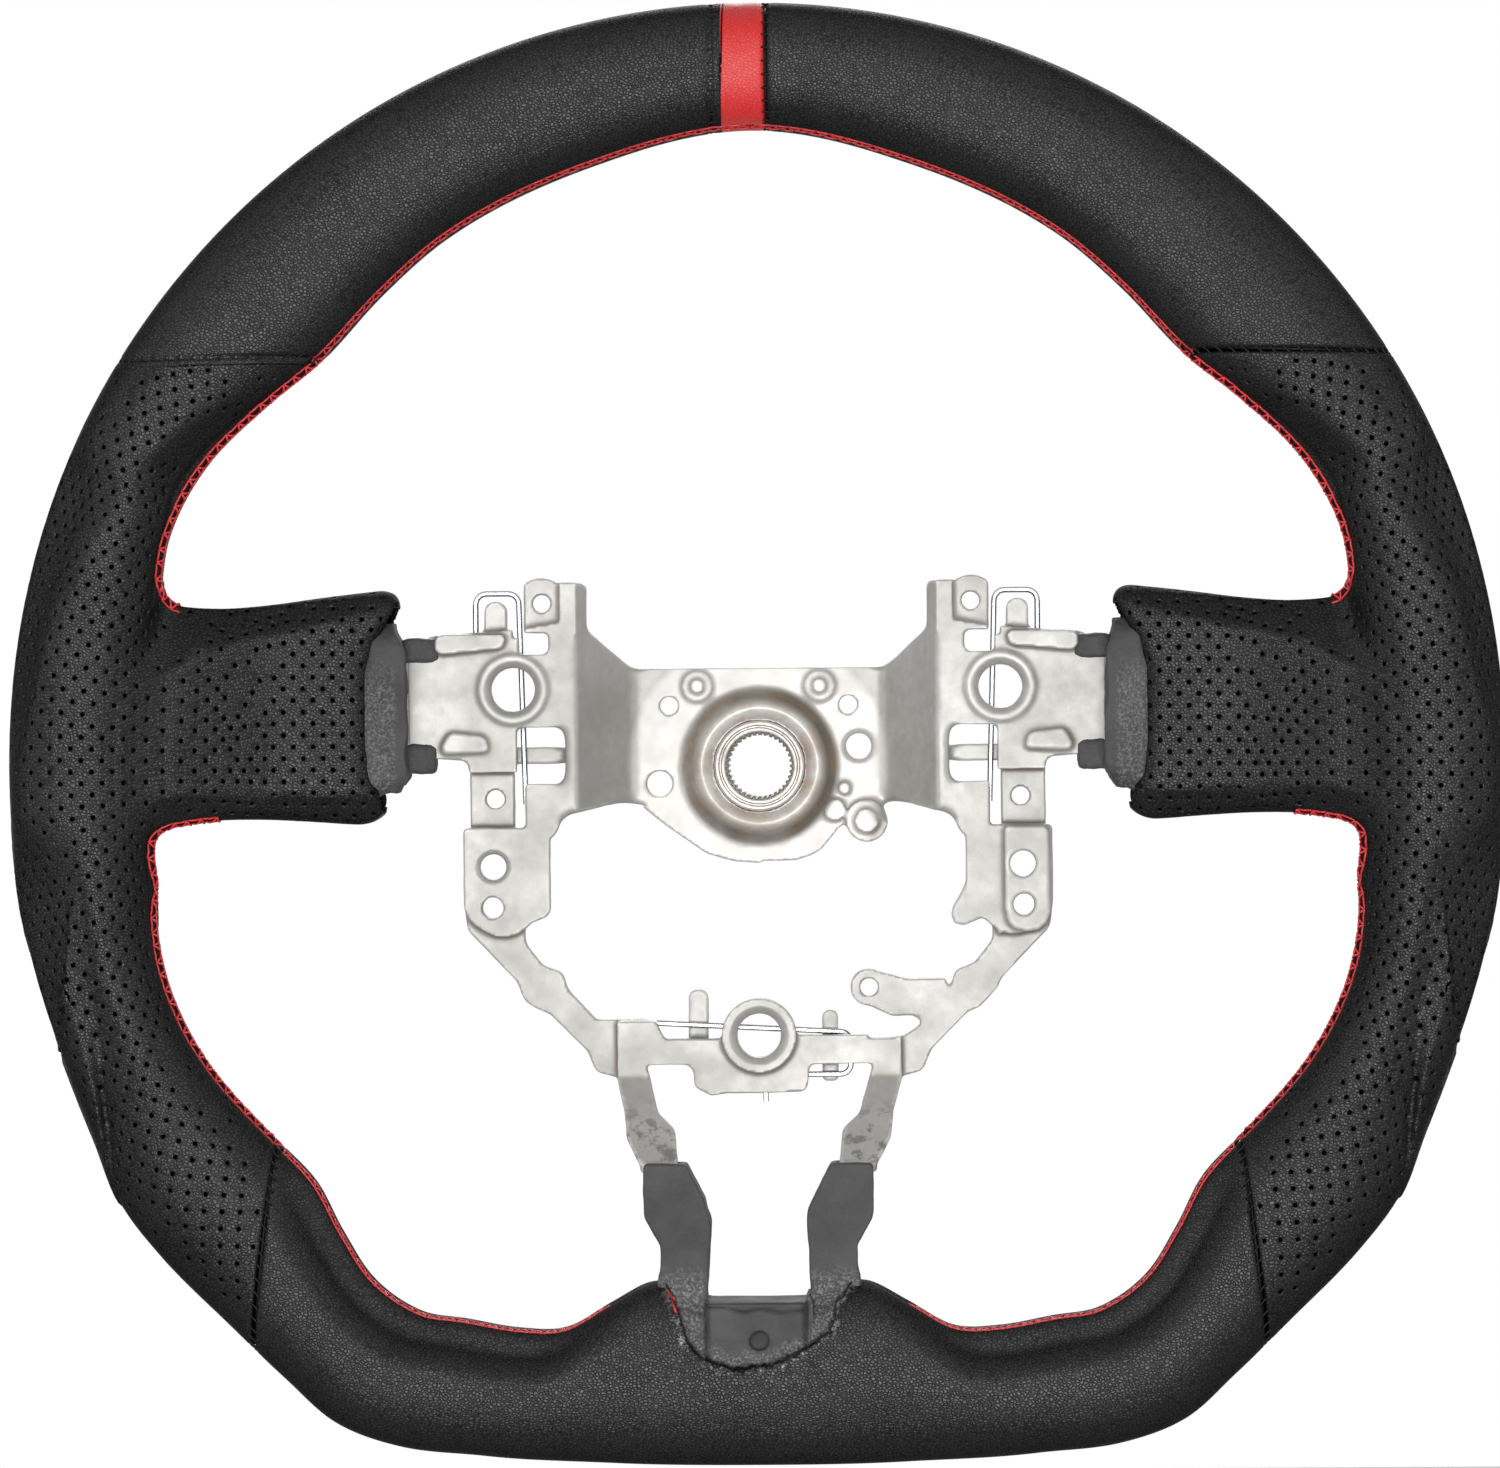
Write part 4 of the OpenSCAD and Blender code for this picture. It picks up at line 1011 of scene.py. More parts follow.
def foam():
    m = Nodes("foam_look")
    speck = m.noise(1500, 5, 0.7)
    base = m.mix(m.steps(m.noise(35, 4), (0.35, 0.0), (0.7, 1.0)),
                 (0.042, 0.042, 0.044), (0.072, 0.072, 0.074))
    # pale torn skin and glue where the leather was trimmed
    light = m.times(m.attribute("torn"), m.steps(speck, (0.47, 0.0), (0.62, 1.0)))
    base = m.mix(m.times(light, 0.85), base, (0.26, 0.26, 0.255))
    # painted shade: near black in the crack across the bridge and along the step beside the legs
    base = m.mix(m.times(m.attribute("shaded_crack"), 0.9), base, (0.008, 0.008, 0.008))
    m.set("Base Color", base)
    m.set("Roughness", m.steps(m.noise(120, 3), (0.3, 0.62), (0.7, 0.8)))
    m.set("Specular IOR Level", 0.35)
    m.bump(m.noise(2200, 3), 0.00008, 0.7)
    m.bump(m.noise(260, 5, 0.7), 0.0006, 0.4)
    return m.mat


LOOKS = {
    "smooth_leather": leather("smooth_leather_look", (0.012, 0.012, 0.0124), (0.042, 0.042, 0.0425),
                              (0.31, 0.38), 0.00008, polish=0.62),
    "perforated_leather": leather("perforated_leather_look", (0.011, 0.011, 0.0114), (0.040, 0.040, 0.0405),
                                  (0.31, 0.38), 0.00008, 1050.0, 0.62),
    "red_leather": leather("red_leather_look", (0.46, 0.012, 0.012), (0.66, 0.022, 0.02), (0.42, 0.55)),
    "red_thread": thread("red_thread_look", (0.42, 0.01, 0.014), (0.72, 0.035, 0.04)),
    "black_thread": thread("black_thread_look", (0.003, 0.003, 0.0033), (0.012, 0.012, 0.0125), 0.5, 0.15),
    "cast_metal": cast_metal(),
    "rod_metal": steel("rod_metal_look", (0.4, 0.4, 0.41), (0.55, 0.55, 0.56), 0.35),
    "bushing_steel": steel("bushing_steel_look", (0.30, 0.285, 0.265), (0.42, 0.405, 0.385), 0.42, 0.6,
                           0.00005, 0.6),
    "zinc_wire": steel("zinc_wire_look", (0.36, 0.38, 0.40), (0.55, 0.57, 0.59), 0.25),
    "foam": foam(),
}


def finish_piece(obj, slot, *nodes, body=BODY):
    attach(obj, body)
    if nodes:
        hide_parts(*nodes)
    return obj


# ---------------------------------------------------------------- leather
make_camera(RIM_Y)

points, faces = grip_points()
# painted shade: how far each point lies inside a perforation, which darkens it to near black
hole_shades = smooth_step(0.12, 0.5, -leather_field(*points.T))
for side, flip, order in (("right", 1, 1), ("left", MIRROR, -1)):
    grip = make_mesh(side + "_grip", points * flip, [f[::order] for f in faces], LOOKS["perforated_leather"])
    set_attribute(grip, "hole_shade", hole_shades)
    finish_piece(grip, "perforated_leather", side + "_grip_leather")

panel("top_right_panel", "smooth_leather", "top_right_leather", 190,
      ("right_band", GAP, 1.2), ("upper", GAP, 56.0))
panel("top_left_panel", "smooth_leather", "top_left_leather", 190,
      ("left_band", -GAP, -2.5), ("upper", GAP, -56.0))
panel("red_band", "red_leather", "centre_stripe", 14, ("left_band", GAP, -2.0), ("right_band", -GAP, 1.0))

# the hand-cut edge of the bottom leather, from its left root round the bridge to its right root
CUT_LINE = [(-29, -118), (-23.3, -125.7), (-19.9, -132.8), (-18.2, -138.9), (-13.9, -143.6), (-6.6, -146.1),
            (3.9, -145.2), (9.8, -142.3), (17.7, -137), (19.0, -131.1), (22.4, -126.5), (28, -118)]
CUT_BACK_Y = RIM_Y + 9.0   # how far the cut-out reaches over the inner edge


def cutout_depth(x, z):
    """Negative inside the cut-out."""
    side, _ = line_side(x, z, CUT_LINE)
    wobble = 0.35 * np.sin(x * 1.9 + z * 0.7) + 0.2 * np.sin(x * 4.3 - z * 3.1)
    return side + wobble


def bottom_panel():
    """The flat bottom's leather, cut away around the foam legs."""
    cols = 128
    ends = ("right_lower", -GAP, 132.0), ("left_lower", -GAP, 228.0)
    rings = panel_rows(ends, 250, cols, 165, bottom_relief)
    points, faces = np.vstack(rings), np.array(grid_faces(len(rings), cols))
    x, y, z = points[faces].mean(1).T
    faces = faces[~((cutout_depth(x, z) < 0) & (y < CUT_BACK_Y))]
    bm = bmesh.new()
    index = {int(k): bm.verts.new(points[k]) for k in np.unique(faces)}
    for f in faces:
        bm.faces.new([index[int(k)] for k in f])
    bm.verts.index_update()
    # the cut edge follows the line smoothly, and the leather shows its thickness there
    edges = [e for e in bm.edges if e.is_boundary and abs(e.verts[0].co.x) < 60]
    rim = list({v for e in edges for v in e.verts})
    for _ in range(4):
        new = {}
        for v in rim:
            near = [e.other_vert(v).co for e in v.link_edges if e.is_boundary]
            if len(near) == 2:
                new[v] = v.co * 0.4 + (near[0] + near[1]) * 0.3
        for v, co in new.items():
            v.co = co
    bm.normal_update()
    inward = {v: v.normal.copy() for v in rim}
    for g in bmesh.ops.extrude_edge_only(bm, edges=edges)["geom"]:
        if isinstance(g, bmesh.types.BMVert):
            at = min(rim, key=lambda v: (v.co - g.co).length_squared)
            g.co = g.co - inward[at] * 1.4
    return make_mesh("bottom_panel", *bm_arrays(bm), LOOKS["smooth_leather"])


bottom = bottom_panel()
x, y, z = mesh_points(bottom)[0].T
set_attribute(bottom, "cut", smooth_step(0.9, 0.2, np.abs(cutout_depth(x, z) - 0.2)) * (y < CUT_BACK_Y))
finish_piece(bottom, "smooth_leather", "bottom_leather")


# ---------------------------------------------------------------- lacing and stitches
LACE_PITCH, LACE_HALF, LACE_THREAD = 3.6, 1.5, 0.27
# the inner outline of the right-hand grip, above and below the spoke, as points in X and Z
UPPER_OUTLINE = [(106.0, 99.0), (120, 87.5), (133.7, 74.5), (140.8, 63), (143.9, 55), (144.9, 48),
                 (143, 43.2), (140.4, 41.2)]
LOWER_OUTLINE = [(131, -12.2), (138.4, -13.9), (142.8, -17.3), (145.6, -22.6), (146.8, -32),
                 (146, -44.8), (143.9, -53.2), (138.6, -64.9), (127.7, -80.6), (118.5, -91.0)]


def leather_surface(q):
    """Nearest points of the right-hand leather to points near it, and the normals there."""
    q = np.array(q, float)
    p, turn = clock_angle(q[:, 0], q[:, 2]), section_turn(*q.T)
    out = section_point(p, turn, lace_groove(p, turn) + bottom_relief(p, turn))
    normal = section_point(p, turn, -1.0) - section_point(p, turn)
    grip = (seam_reach(q) > 0) & (p > 40) & (p < 135)
    if grip.any():
        out[grip] = project(leather_field, q[grip], 4)
        normal[grip] = gradient(leather_field, out[grip])
    return out, unit(normal)


def outline_track(points, inside):
    """Front points of the grip's surface, `inside` millimetres within its outline as seen from the front."""
    q = spline(points, 24)
    y = np.linspace(RIM_Y - 17, RIM_Y + 31, 49)

    def depth(q):
        x, z = np.broadcast_arrays(q[:, :1], y)[0], np.broadcast_arrays(q[:, 1:], y)[0]
        return leather_field(x, np.broadcast_to(y, x.shape), z)

    for _ in range(6):
        f = depth(q).min(1)
        gx = (depth(q + [0.1, 0]).min(1) - f) / 0.1
        gz = (depth(q + [0, 0.1]).min(1) - f) / 0.1
        q = q - ((f + inside) / np.maximum(gx ** 2 + gz ** 2, 0.25))[:, None] * np.stack([gx, gz], -1)
    f = depth(q)
    first = np.argmax(f < 0, axis=1)
    rows = np.arange(len(q))
    before = np.maximum(first - 1, 0)
    share = np.clip(f[rows, before] / (f[rows, before] - f[rows, first] + 1e-9), 0, 1)
    front = y[before] + share * (y[first] - y[before])
    return np.stack([q[:, 0], front, q[:, 1]], -1)


def lace_tracks():
    """The middle lines of the lacing on the right-hand side: above the spoke and below it."""
    p = np.linspace(0, 45.3, 160)
    top, _ = leather_surface(section_point(p, lace_angle(p)))
    upper = np.vstack([top, outline_track(UPPER_OUTLINE, 0.35)])
    p = np.linspace(129.5, 164.6, 160)
    bottom, _ = leather_surface(section_point(p, lace_angle(p)))
    lower = np.vstack([outline_track(LOWER_OUTLINE, 0.35), bottom])
    return upper, lower


def lace_run(bundle, track, mirror, seed):
    """One run of lacing along a track: crossing strands and a strand along each edge."""
    rng = np.random.default_rng(seed)
    length = running_length(track)
    even = np.linspace(0, length[-1], int(length[-1]))
    track = np.stack([np.interp(even, length, track[:, i]) for i in range(3)], -1)
    for _ in range(4):
        track[1:-1] = (track[:-2] + track[2:]) / 4 + track[1:-1] / 2
    track, normal = leather_surface(track)
    along = np.gradient(track, axis=0)
    across = unit(np.cross(normal, along))
    paths = []
    for k in range(int(even[-1] / LACE_PITCH)):
        inner, outer = k * LACE_PITCH, (k + 0.5) * LACE_PITCH
        slip = rng.uniform(-0.35, 0.35, 4)
        paths += [[(inner + slip[0], -1), (outer + slip[1], 1)],
                  [(outer + slip[1], 1), (inner + LACE_PITCH, -1)],
                  [(inner + slip[2], -1), (inner + LACE_PITCH, -1)], [(outer, 1), (outer + LACE_PITCH, 1)]]
    share = np.array([0.0, 0.08, 0.3, 0.5, 0.7, 0.92, 1.0])
    lift_cross = np.array([-0.45, 0.1, 0.4, 0.5, 0.4, 0.1, -0.45])
    lift_edge = np.array([-0.45, 0.0, 0.1, 0.15, 0.1, 0.0, -0.45])
    s, off, lift = [], [], []
    for (s0, o0), (s1, o1) in paths:
        s.append(s0 + (s1 - s0) * share)
        off.append((o0 + (o1 - o0) * share) * LACE_HALF + rng.uniform(-0.15, 0.15))
        lift.append((lift_cross if o0 != o1 else lift_edge) * rng.uniform(0.8, 1.3))
    s, off, lift = np.concatenate(s), np.concatenate(off), np.concatenate(lift)

    def at(values):
        return np.stack([np.interp(s, even, values[:, i]) for i in range(3)], -1)

    surface, up = leather_surface(at(track) + at(across) * off[:, None])
    points = surface + up * lift[:, None]
    if mirror:
        points = points * MIRROR
    for path in points.reshape(len(paths), len(share), 3):
        bundle.add(*tube_mesh(path, LACE_THREAD, 6))


def cut_end_strands(bundle):
    """The few strands left standing at the cut edge beside the left foam leg."""
    turn = np.linspace(-180, 180, 721)
    for seed, (x, z, dx, dz) in enumerate(((-22.6, -126.3, 1.2, -2.4), (-21.9, -127.8, 1.5, -1.6),
                                           (-21.2, -129.2, 1.1, -2.2), (-20.8, -130.6, 0.9, -1.9),
                                           (-22.0, -126.8, 0.7, -2.6), (-21.0, -129.9, 1.0, -2.4))):
        path = []
        for t in (0.0, 0.3, 0.7, 1.0):
            px, pz = x + dx * t, z + dz * t
            q = section_point(clock_angle(px, pz), turn)
            gap = np.abs(np.hypot(q[:, 0], q[:, 2]) - math.hypot(px, pz)) + 100 * (q[:, 1] > RIM_Y)
            at = q[np.argmin(gap)]
            path.append(at + np.array([0, -0.35 + 0.5 * (t in (0.0, 1.0)) - 0.06 * seed, 0]))
        bundle.add(*tube_mesh(path, LACE_THREAD, 6))


def lacing(name, node, runs, cut_end=False):
    bundle = Bundle()
    if cut_end:
        cut_end_strands(bundle)
    for seed, (track, mirror) in enumerate(runs):
        lace_run(bundle, track, mirror, seed)
    finish_piece(bundle.make(name, "red_thread"), "red_thread", node)


upper_track, lower_track = lace_tracks()
lacing("upper_lacing_threads", "upper_lacing", [(upper_track, False), (upper_track, True)])
lacing("left_lower_lacing_threads", "left_lower_lacing", [(lower_track, True)], True)
lacing("right_lower_lacing_threads", "right_lower_lacing", [(lower_track, False)])

STITCH_PITCH, STITCH_HALF, STITCH_THREAD = 3.3, 1.0, 0.26


def cross_seam(name, node, seam, guess, mirror):
    """Short stitches all round the rim over one cross seam, and the dark cord that closes it below them."""
    bundle = Bundle()
    u = np.linspace(-180, 180, 361)
    line = section_point(seam_angle(seam, u, 0.0, guess), u)
    length = running_length(line)
    count = int(length[-1] / STITCH_PITCH)
    at = np.interp((np.arange(count) + 0.5) * length[-1] / count, length, u)
    stations = [(-1.0, 1.1), (-0.92, 0.25), (-0.45, 0.28), (0.0, 0.42), (0.45, 0.28), (0.92, 0.25),
                (1.0, 1.1)]
    rows = [section_point(seam_angle(seam, at, side * STITCH_HALF, guess), at, depth)
            for side, depth in stations]
    flip = MIRROR if mirror else 1
    for path in np.stack(rows, 1) * flip:
        bundle.add(*tube_mesh(path, STITCH_THREAD, 6))
    ring = section_point(seam_angle(seam, u[:-1:3], 0.0, guess), u[:-1:3], 1.9) * flip
    ring = np.vstack([ring, ring[:2]])
    bundle.add(*tube_mesh(ring, 0.55, 6, caps=False))
    finish_piece(bundle.make(name, "black_thread"), "black_thread", node)


cross_seam("left_band_stitches", "left_stripe_seam", "left_band", -2.5, False)
cross_seam("right_band_stitches", "right_stripe_seam", "right_band", 1.2, False)
for level, seam, guess in (("upper", "upper", 56.0), ("lower", "right_lower", 130.0)):
    for side, mirror in (("right", False), ("left", True)):
        cross_seam("%s_%s_stitches" % (side, level), "%s_%s_seam" % (side, level), seam, guess, mirror)


def spoke_stitches(name, node, mirror):
    """The closing seam on the back of a spoke, with crossing stitches."""
    bundle = Bundle()
    z0 = (SPOKE_LOW[0][1] + SPOKE_TOP[0][1]) / 2
    x = np.arange(spoke_cut(z0) + 1.5, 118.0, 3.4)
    flip = MIRROR if mirror else 1
    share = np.array([0.0, 0.1, 0.35, 0.65, 0.9, 1.0])
    lift = np.array([-0.6, 0.1, 0.4, 0.4, 0.1, -0.6])
    for a, b in zip(x[:-1], x[1:]):
        for (xa, za), (xb, zb) in (((a, -2.2), ((a + b) / 2, 2.2)), (((a + b) / 2, 2.2), (b, -2.2))):
            q = np.stack([xa + (xb - xa) * share, np.full(6, RIM_Y + 28.0), z0 + za + (zb - za) * share], -1)
            q = project(leather_field, q, 4)
            bundle.add(*tube_mesh((q + leather_normals(q) * lift[:, None]) * flip, 0.36, 6))
    finish_piece(bundle.make(name, "black_thread"), "black_thread", node)


spoke_stitches("left_spoke_stitches", "left_spoke_lacing", True)
spoke_stitches("right_spoke_stitches", "right_spoke_lacing", False)


# ---------------------------------------------------------------- foam, rounded from the CAD solid
def prism(outline, front, back):
    """A closed solid between two depths over an outline given by points in X and Z, as a bmesh."""
    bm = bmesh.new()
    ends = [[bm.verts.new((x * MM, y * MM, z * MM)) for x, z in outline] for y in (front, back)]
    count = len(outline)
    bm.faces.new(ends[0])
    bm.faces.new(ends[1][::-1])
    for i in range(count):
        bm.faces.new((ends[0][i], ends[1][i], ends[1][(i + 1) % count], ends[0][(i + 1) % count]))
    bmesh.ops.recalc_face_normals(bm, faces=bm.faces)
    return bm


def bake_modifiers(obj):
    done = bpy.data.meshes.new_from_object(obj.evaluated_get(bpy.context.evaluated_depsgraph_get()))
    obj.modifiers.clear()
    obj.data = done


def combine(obj, bm, operation):
    """Joins a closed bmesh to a copy, takes it away, or keeps what is inside it."""
    tool = bm_object("tool", bm)
    mod = obj.modifiers.new("combine", "BOOLEAN")
    mod.operation, mod.solver, mod.object = operation, "EXACT", tool
    bake_modifiers(obj)
    bpy.data.objects.remove(tool)


def cad_copy(name, node, box, shapes=(), outside=False, voxel=None):
    """Copy of a CAD node, changed by shapes (outline, front, back, operation), and cut to a box or to what is
    outside it. With a voxel size its edges are rounded by a fine remesh."""
    obj = add_object(name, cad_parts[node].data.copy())
    for outline, front, back, operation in shapes:
        combine(obj, prism(outline, front, back), operation)
    cube = bmesh.new()
    bmesh.ops.create_cube(cube, size=1)
    low, high = np.array(box) * MM
    for v in cube.verts:
        v.co = Vector((low + high) / 2 + np.array(v.co) * (high - low))
    combine(obj, cube, "DIFFERENCE" if outside else "INTERSECT")
    if voxel:
        mod = obj.modifiers.new("round", "REMESH")
        mod.mode, mod.voxel_size, mod.use_smooth_shade = "VOXEL", voxel * MM, True
        mod = obj.modifiers.new("soften", "SMOOTH")
        mod.factor, mod.iterations = 0.5, 3
        bake_modifiers(obj)
        obj.data.shade_smooth()
    return obj


def mesh_edges(obj):
    e = np.empty(len(obj.data.edges) * 2, int)
    obj.data.edges.foreach_get("vertices", e)
    return e.reshape(-1, 2)


def neighbour_mean(values, edges):
    """Mean of each vertex's neighbours, for an array with one row a vertex."""
    count = np.bincount(edges.ravel(), minlength=len(values))
    out = [np.bincount(edges[:, 0], weights=v[edges[:, 1]], minlength=len(values))
           + np.bincount(edges[:, 1], weights=v[edges[:, 0]], minlength=len(values)) for v in values.T]
    return np.stack(out, -1) / np.maximum(count, 1)[:, None]


def hollows(q, n, edges, rounds=4):
    """How hollow the surface is at each vertex: above 0 in corners, below 0 on edges, in 1/mm."""
    step = np.linalg.norm(q[edges[:, 0]] - q[edges[:, 1]], axis=1).mean()
    h = ((neighbour_mean(q, edges) - q) * n).sum(1, keepdims=True) / step ** 2
    for _ in range(rounds):
        h = (h + neighbour_mean(h, edges)) / 2
    return h[:, 0]


def set_points(obj, q):
    obj.data.vertices.foreach_set("co", (q * MM).ravel())
    obj.data.update()


def set_look(obj, look):
    obj.data.materials.clear()
    obj.data.materials.append(LOOKS[look])


def dress(obj, look, node):
    set_look(obj, look)
    finish_piece(obj, look, node)


def lumps(q, scale, seed):
    """Smooth uneven values from a few crossed waves, between about -1 and 1."""
    rng = np.random.default_rng(seed)
    total = np.zeros(len(q))
    for _ in range(7):
        d = rng.normal(size=3)
        d /= np.linalg.norm(d)
        total += np.sin(q @ d * 2 * np.pi / scale * rng.uniform(0.7, 1.5) + rng.uniform(0, 6.3))
    return total / 3.5


FOAM_INSET = 5.9
PAD_Y = -25.0   # middle of the plates that carry the airbag
COPY_VOXEL = 0.5


def tuck(obj, visible):
    """Draws foam that lies under leather further in, apart from where it shows (visible near 1)."""
    q, _ = mesh_points(obj)
    side = q.copy()
    side[:, 0] = np.abs(side[:, 0])
    near_spoke = side[:, 2] > -60
    depth = np.where(near_spoke, grip_field(*side.T), rim_field(*side.T))
    slope = np.where(near_spoke[:, None], gradient(grip_field, side), gradient(rim_field, side))
    slope[:, 0] *= np.sign(q[:, 0])
    move = np.clip(depth + FOAM_INSET, 0, 9) * (depth < 0.5) * (1 - visible(q))
    set_points(obj, q - unit(slope) * move[:, None])


def foot_visible(q):
    x, y, z = q.T
    on_plate = smooth_step(1.0, -0.8, cutout_depth(x, z)) * (y < CUT_BACK_Y)
    above = smooth_step(0.0, 1.5, rim_field(x, y, z))
    return np.maximum(on_plate, above)


def spoke_visible(q):
    return smooth_step(96.5, 94.0, np.abs(q[:, 0]))


def foam_feet():
    """The foam on the legs and the bridge, with its torn and cut places."""
    foot = cad_copy("foam_feet", "foam_overmould", ((-44, -70, -175), (44, 0, -86)), voxel=COPY_VOXEL)
    tuck(foot, foot_visible)
    q, n = mesh_points(foot)
    x, _, z = q.T
    seen = foot_visible(q)
    near_cut = smooth_step(-5.5, -0.5, cutout_depth(x, z) + 1.3 * lumps(q, 9, 8))
    feet = smooth_step(12.0, 14.5, np.abs(x + 0.6) + 1.2 * lumps(q, 7, 9)) * smooth_step(-120, -127, z)
    torn = np.maximum(near_cut * smooth_step(-121, -128, z), feet) * seen
    rough = 0.10 * lumps(q, 14, 1) + 0.05 * lumps(q, 4, 2)
    rough += torn * (0.22 * lumps(q, 3.0, 3) + 0.16 * lumps(q, 1.5, 4))
    set_points(foot, q + n * (rough * seen)[:, None])
    # the bridge lies a step further back than the legs, with a crack across it
    across, down = x + 0.7, z + 0.5 * lumps(q, 6, 13)
    between = smooth_step(12.6, 11.9, np.abs(across)) * seen
    step = np.exp(-((np.abs(across) - 12.1) / 0.5) ** 2) * smooth_step(-128.4, -130.4, z) * seen
    shaded_crack = np.exp(-((down + 132.0 + 0.06 * across) / 0.35) ** 2) * between
    back = 0.7 * between * smooth_step(-128.6, -129.8, z) + 0.8 * step + 0.5 * shaded_crack
    q, _ = mesh_points(foot)
    q[:, 1] += back
    q[:, 2] -= 1.6 * between * smooth_step(-131.5, -128.2, q[:, 2])
    set_points(foot, q)
    set_attribute(foot, "torn", np.clip(torn, 0.04, 1))
    # painted shade in the crack and along the step where the bridge meets the legs
    set_attribute(foot, "shaded_crack", np.clip(np.maximum(step, shaded_crack), 0, 1))
    dress(foot, "foam", "foam_overmould")


def soft_block(low, high, seed):
    """A rounded, uneven block."""
    bm = bmesh.new()
    bmesh.ops.create_icosphere(bm, subdivisions=5, radius=1)
    n, faces = bm_arrays(bm)
    low, high = np.array(low), np.array(high)
    q = (low + high) / 2 + (high - low) / 2 * np.sign(n) * np.abs(n) ** 0.42
    return q + n * (0.18 * lumps(q, 3.5, seed) + 0.08 * lumps(q, 1.2, seed + 1))[:, None], faces


def foam_spoke(name, side):
    """The foam at a spoke's end and its two fingers on the arm. Side is 1 on the right, -1 on the left."""
    low, high = sorted((side * 74, side * 104))
    piece = cad_copy(name, "foam_overmould", ((low, -70, -30), (high, 10, 60)), voxel=COPY_VOXEL)
    tuck(piece, spoke_visible)
    q, n = mesh_points(piece)
    out = np.abs(q[:, 0])
    near = smooth_step(98, 91, out)
    q[:, 2] = q[:, 2] + near * ((13.6 + (q[:, 2] - 13.7) * 0.83) - q[:, 2])
    corner = smooth_step(13, 21.5, np.abs(q[:, 2] - 13.6))
    q[:, 0] = side * (out + (1.0 + 2.6 * corner + 0.6 * lumps(q, 12, 7)) * smooth_step(92, 85, out))
    torn = smooth_step(87.5, 89.5, np.abs(q[:, 0])) * smooth_step(30, 18, q[:, 2])
    worn = near * (0.16 * lumps(q, 9, 5) + (0.08 + 0.18 * torn) * lumps(q, 2.4, 6))
    set_points(piece, q + n * worn[:, None])
    set_attribute(piece, "torn", np.clip(0.6 * torn, 0.04, 1))
    dress(piece, "foam", "foam_overmould")
    bundle = Bundle()
    for z0, z1, reach, seed in ((26.2, 32.2, 78.3, 21), (-1.2, 6.2, 79.0, 31)):
        block, faces = soft_block((reach, PAD_Y - 3.2, z0), (88.0, PAD_Y + 4.0, z1), seed)
        block[:, 0] *= side
        bundle.add(block, [f[::side] for f in faces])
    fingers = bundle.make(name + "_fingers", "foam")
    set_attribute(fingers, "torn", np.full(len(fingers.data.vertices), 0.08))
    finish_piece(fingers, "foam", "foam_overmould")


def foam_ring():
    """The foam inside the leather, with a plain skin."""
    cols, rows = 40, 240
    u = np.arange(cols) * 360.0 / cols
    rings = [section_point(p, u, 3.2 + 2.6 * front_share(u) + bottom_relief(p, u))
             for p in np.arange(rows) * 360.0 / rows]
    count = rows * cols
    faces = [[i % count for i in f] for f in grid_faces(rows + 1, cols)]
    return make_mesh("foam_ring", np.vstack(rings), faces, LOOKS["foam"])


foam_feet()
foam_spoke("foam_right_spoke", 1)
foam_spoke("foam_left_spoke", -1)
finish_piece(foam_ring(), "foam", "foam_overmould")

# ---------------------------------------------------------------- casting
CENTRE_BOX = ((-86, -60, -99), (86, 30, 60))
HUB_STRAIGHT = [(-27.1, -8.9), (-11, -19.8), (1.1, -23.5), (20, -15.8)]
HUB_ARC = [(-27.1, -9.6), (-22.3, -13.6), (-11.9, -20.9), (-5.8, -22.7), (1.5, -23.4), (8.7, -22.4),
           (14.9, -19.8), (20, -15.8)]


def outline_radius(points):
    """Angles from straight down and radii along an outline given by points in X and Z."""
    q = np.array(points, float)
    t = np.linspace(0, len(q) - 1, 300)
    x, z = (np.interp(t, np.arange(len(q)), q[:, i]) for i in (0, 1))
    return np.arctan2(x, -z), np.hypot(x, z)


def disc(x, z, radius, count=28):
    return [(x + radius * math.sin(math.tau * i / count), z + radius * math.cos(math.tau * i / count))
            for i in range(count)]


# outlines seen on the frame, as points in X and Z in the rim's plane; the frame lies deeper by this ratio
DEEPER = 1.016
STRUT_BULGE = [(72.6, -38.6), (45.9, -67.3), (52, -74), (82, -46)]
TAB_GAP = [(26.5, -61.3), (30.4, -60.8), (39, -61.4), (39.2, -63.2), (35.3, -65.7), (30.4, -66.3),
           (26.5, -66.3)]
BLOCK_HOOK = [(50.9, -22), (50.7, -27.8), (49.5, -30.7), (47.4, -34.2), (46.9, -36.4), (47.7, -38.4),
              (49.9, -39.0), (52.4, -38.0), (54.8, -37.0), (56.9, -38.0), (58.5, -41.3), (63, -38), (63, -22)]
BLOCK_PAD = [(60.4, -14.9), (69.6, -14.9), (70.7, -16), (70.9, -36), (70, -38.4), (68, -40.1), (65, -40.6),
             (62.2, -39.8), (60.5, -38), (59.9, -35), (59.9, -15.6)]
THROUGH = (-40, 15)


def deeper(outline):
    return [(x * DEEPER, z * DEEPER) for x, z in outline]


def ridge(x, at, width):
    return np.exp(-((x - at) / width) ** 2)


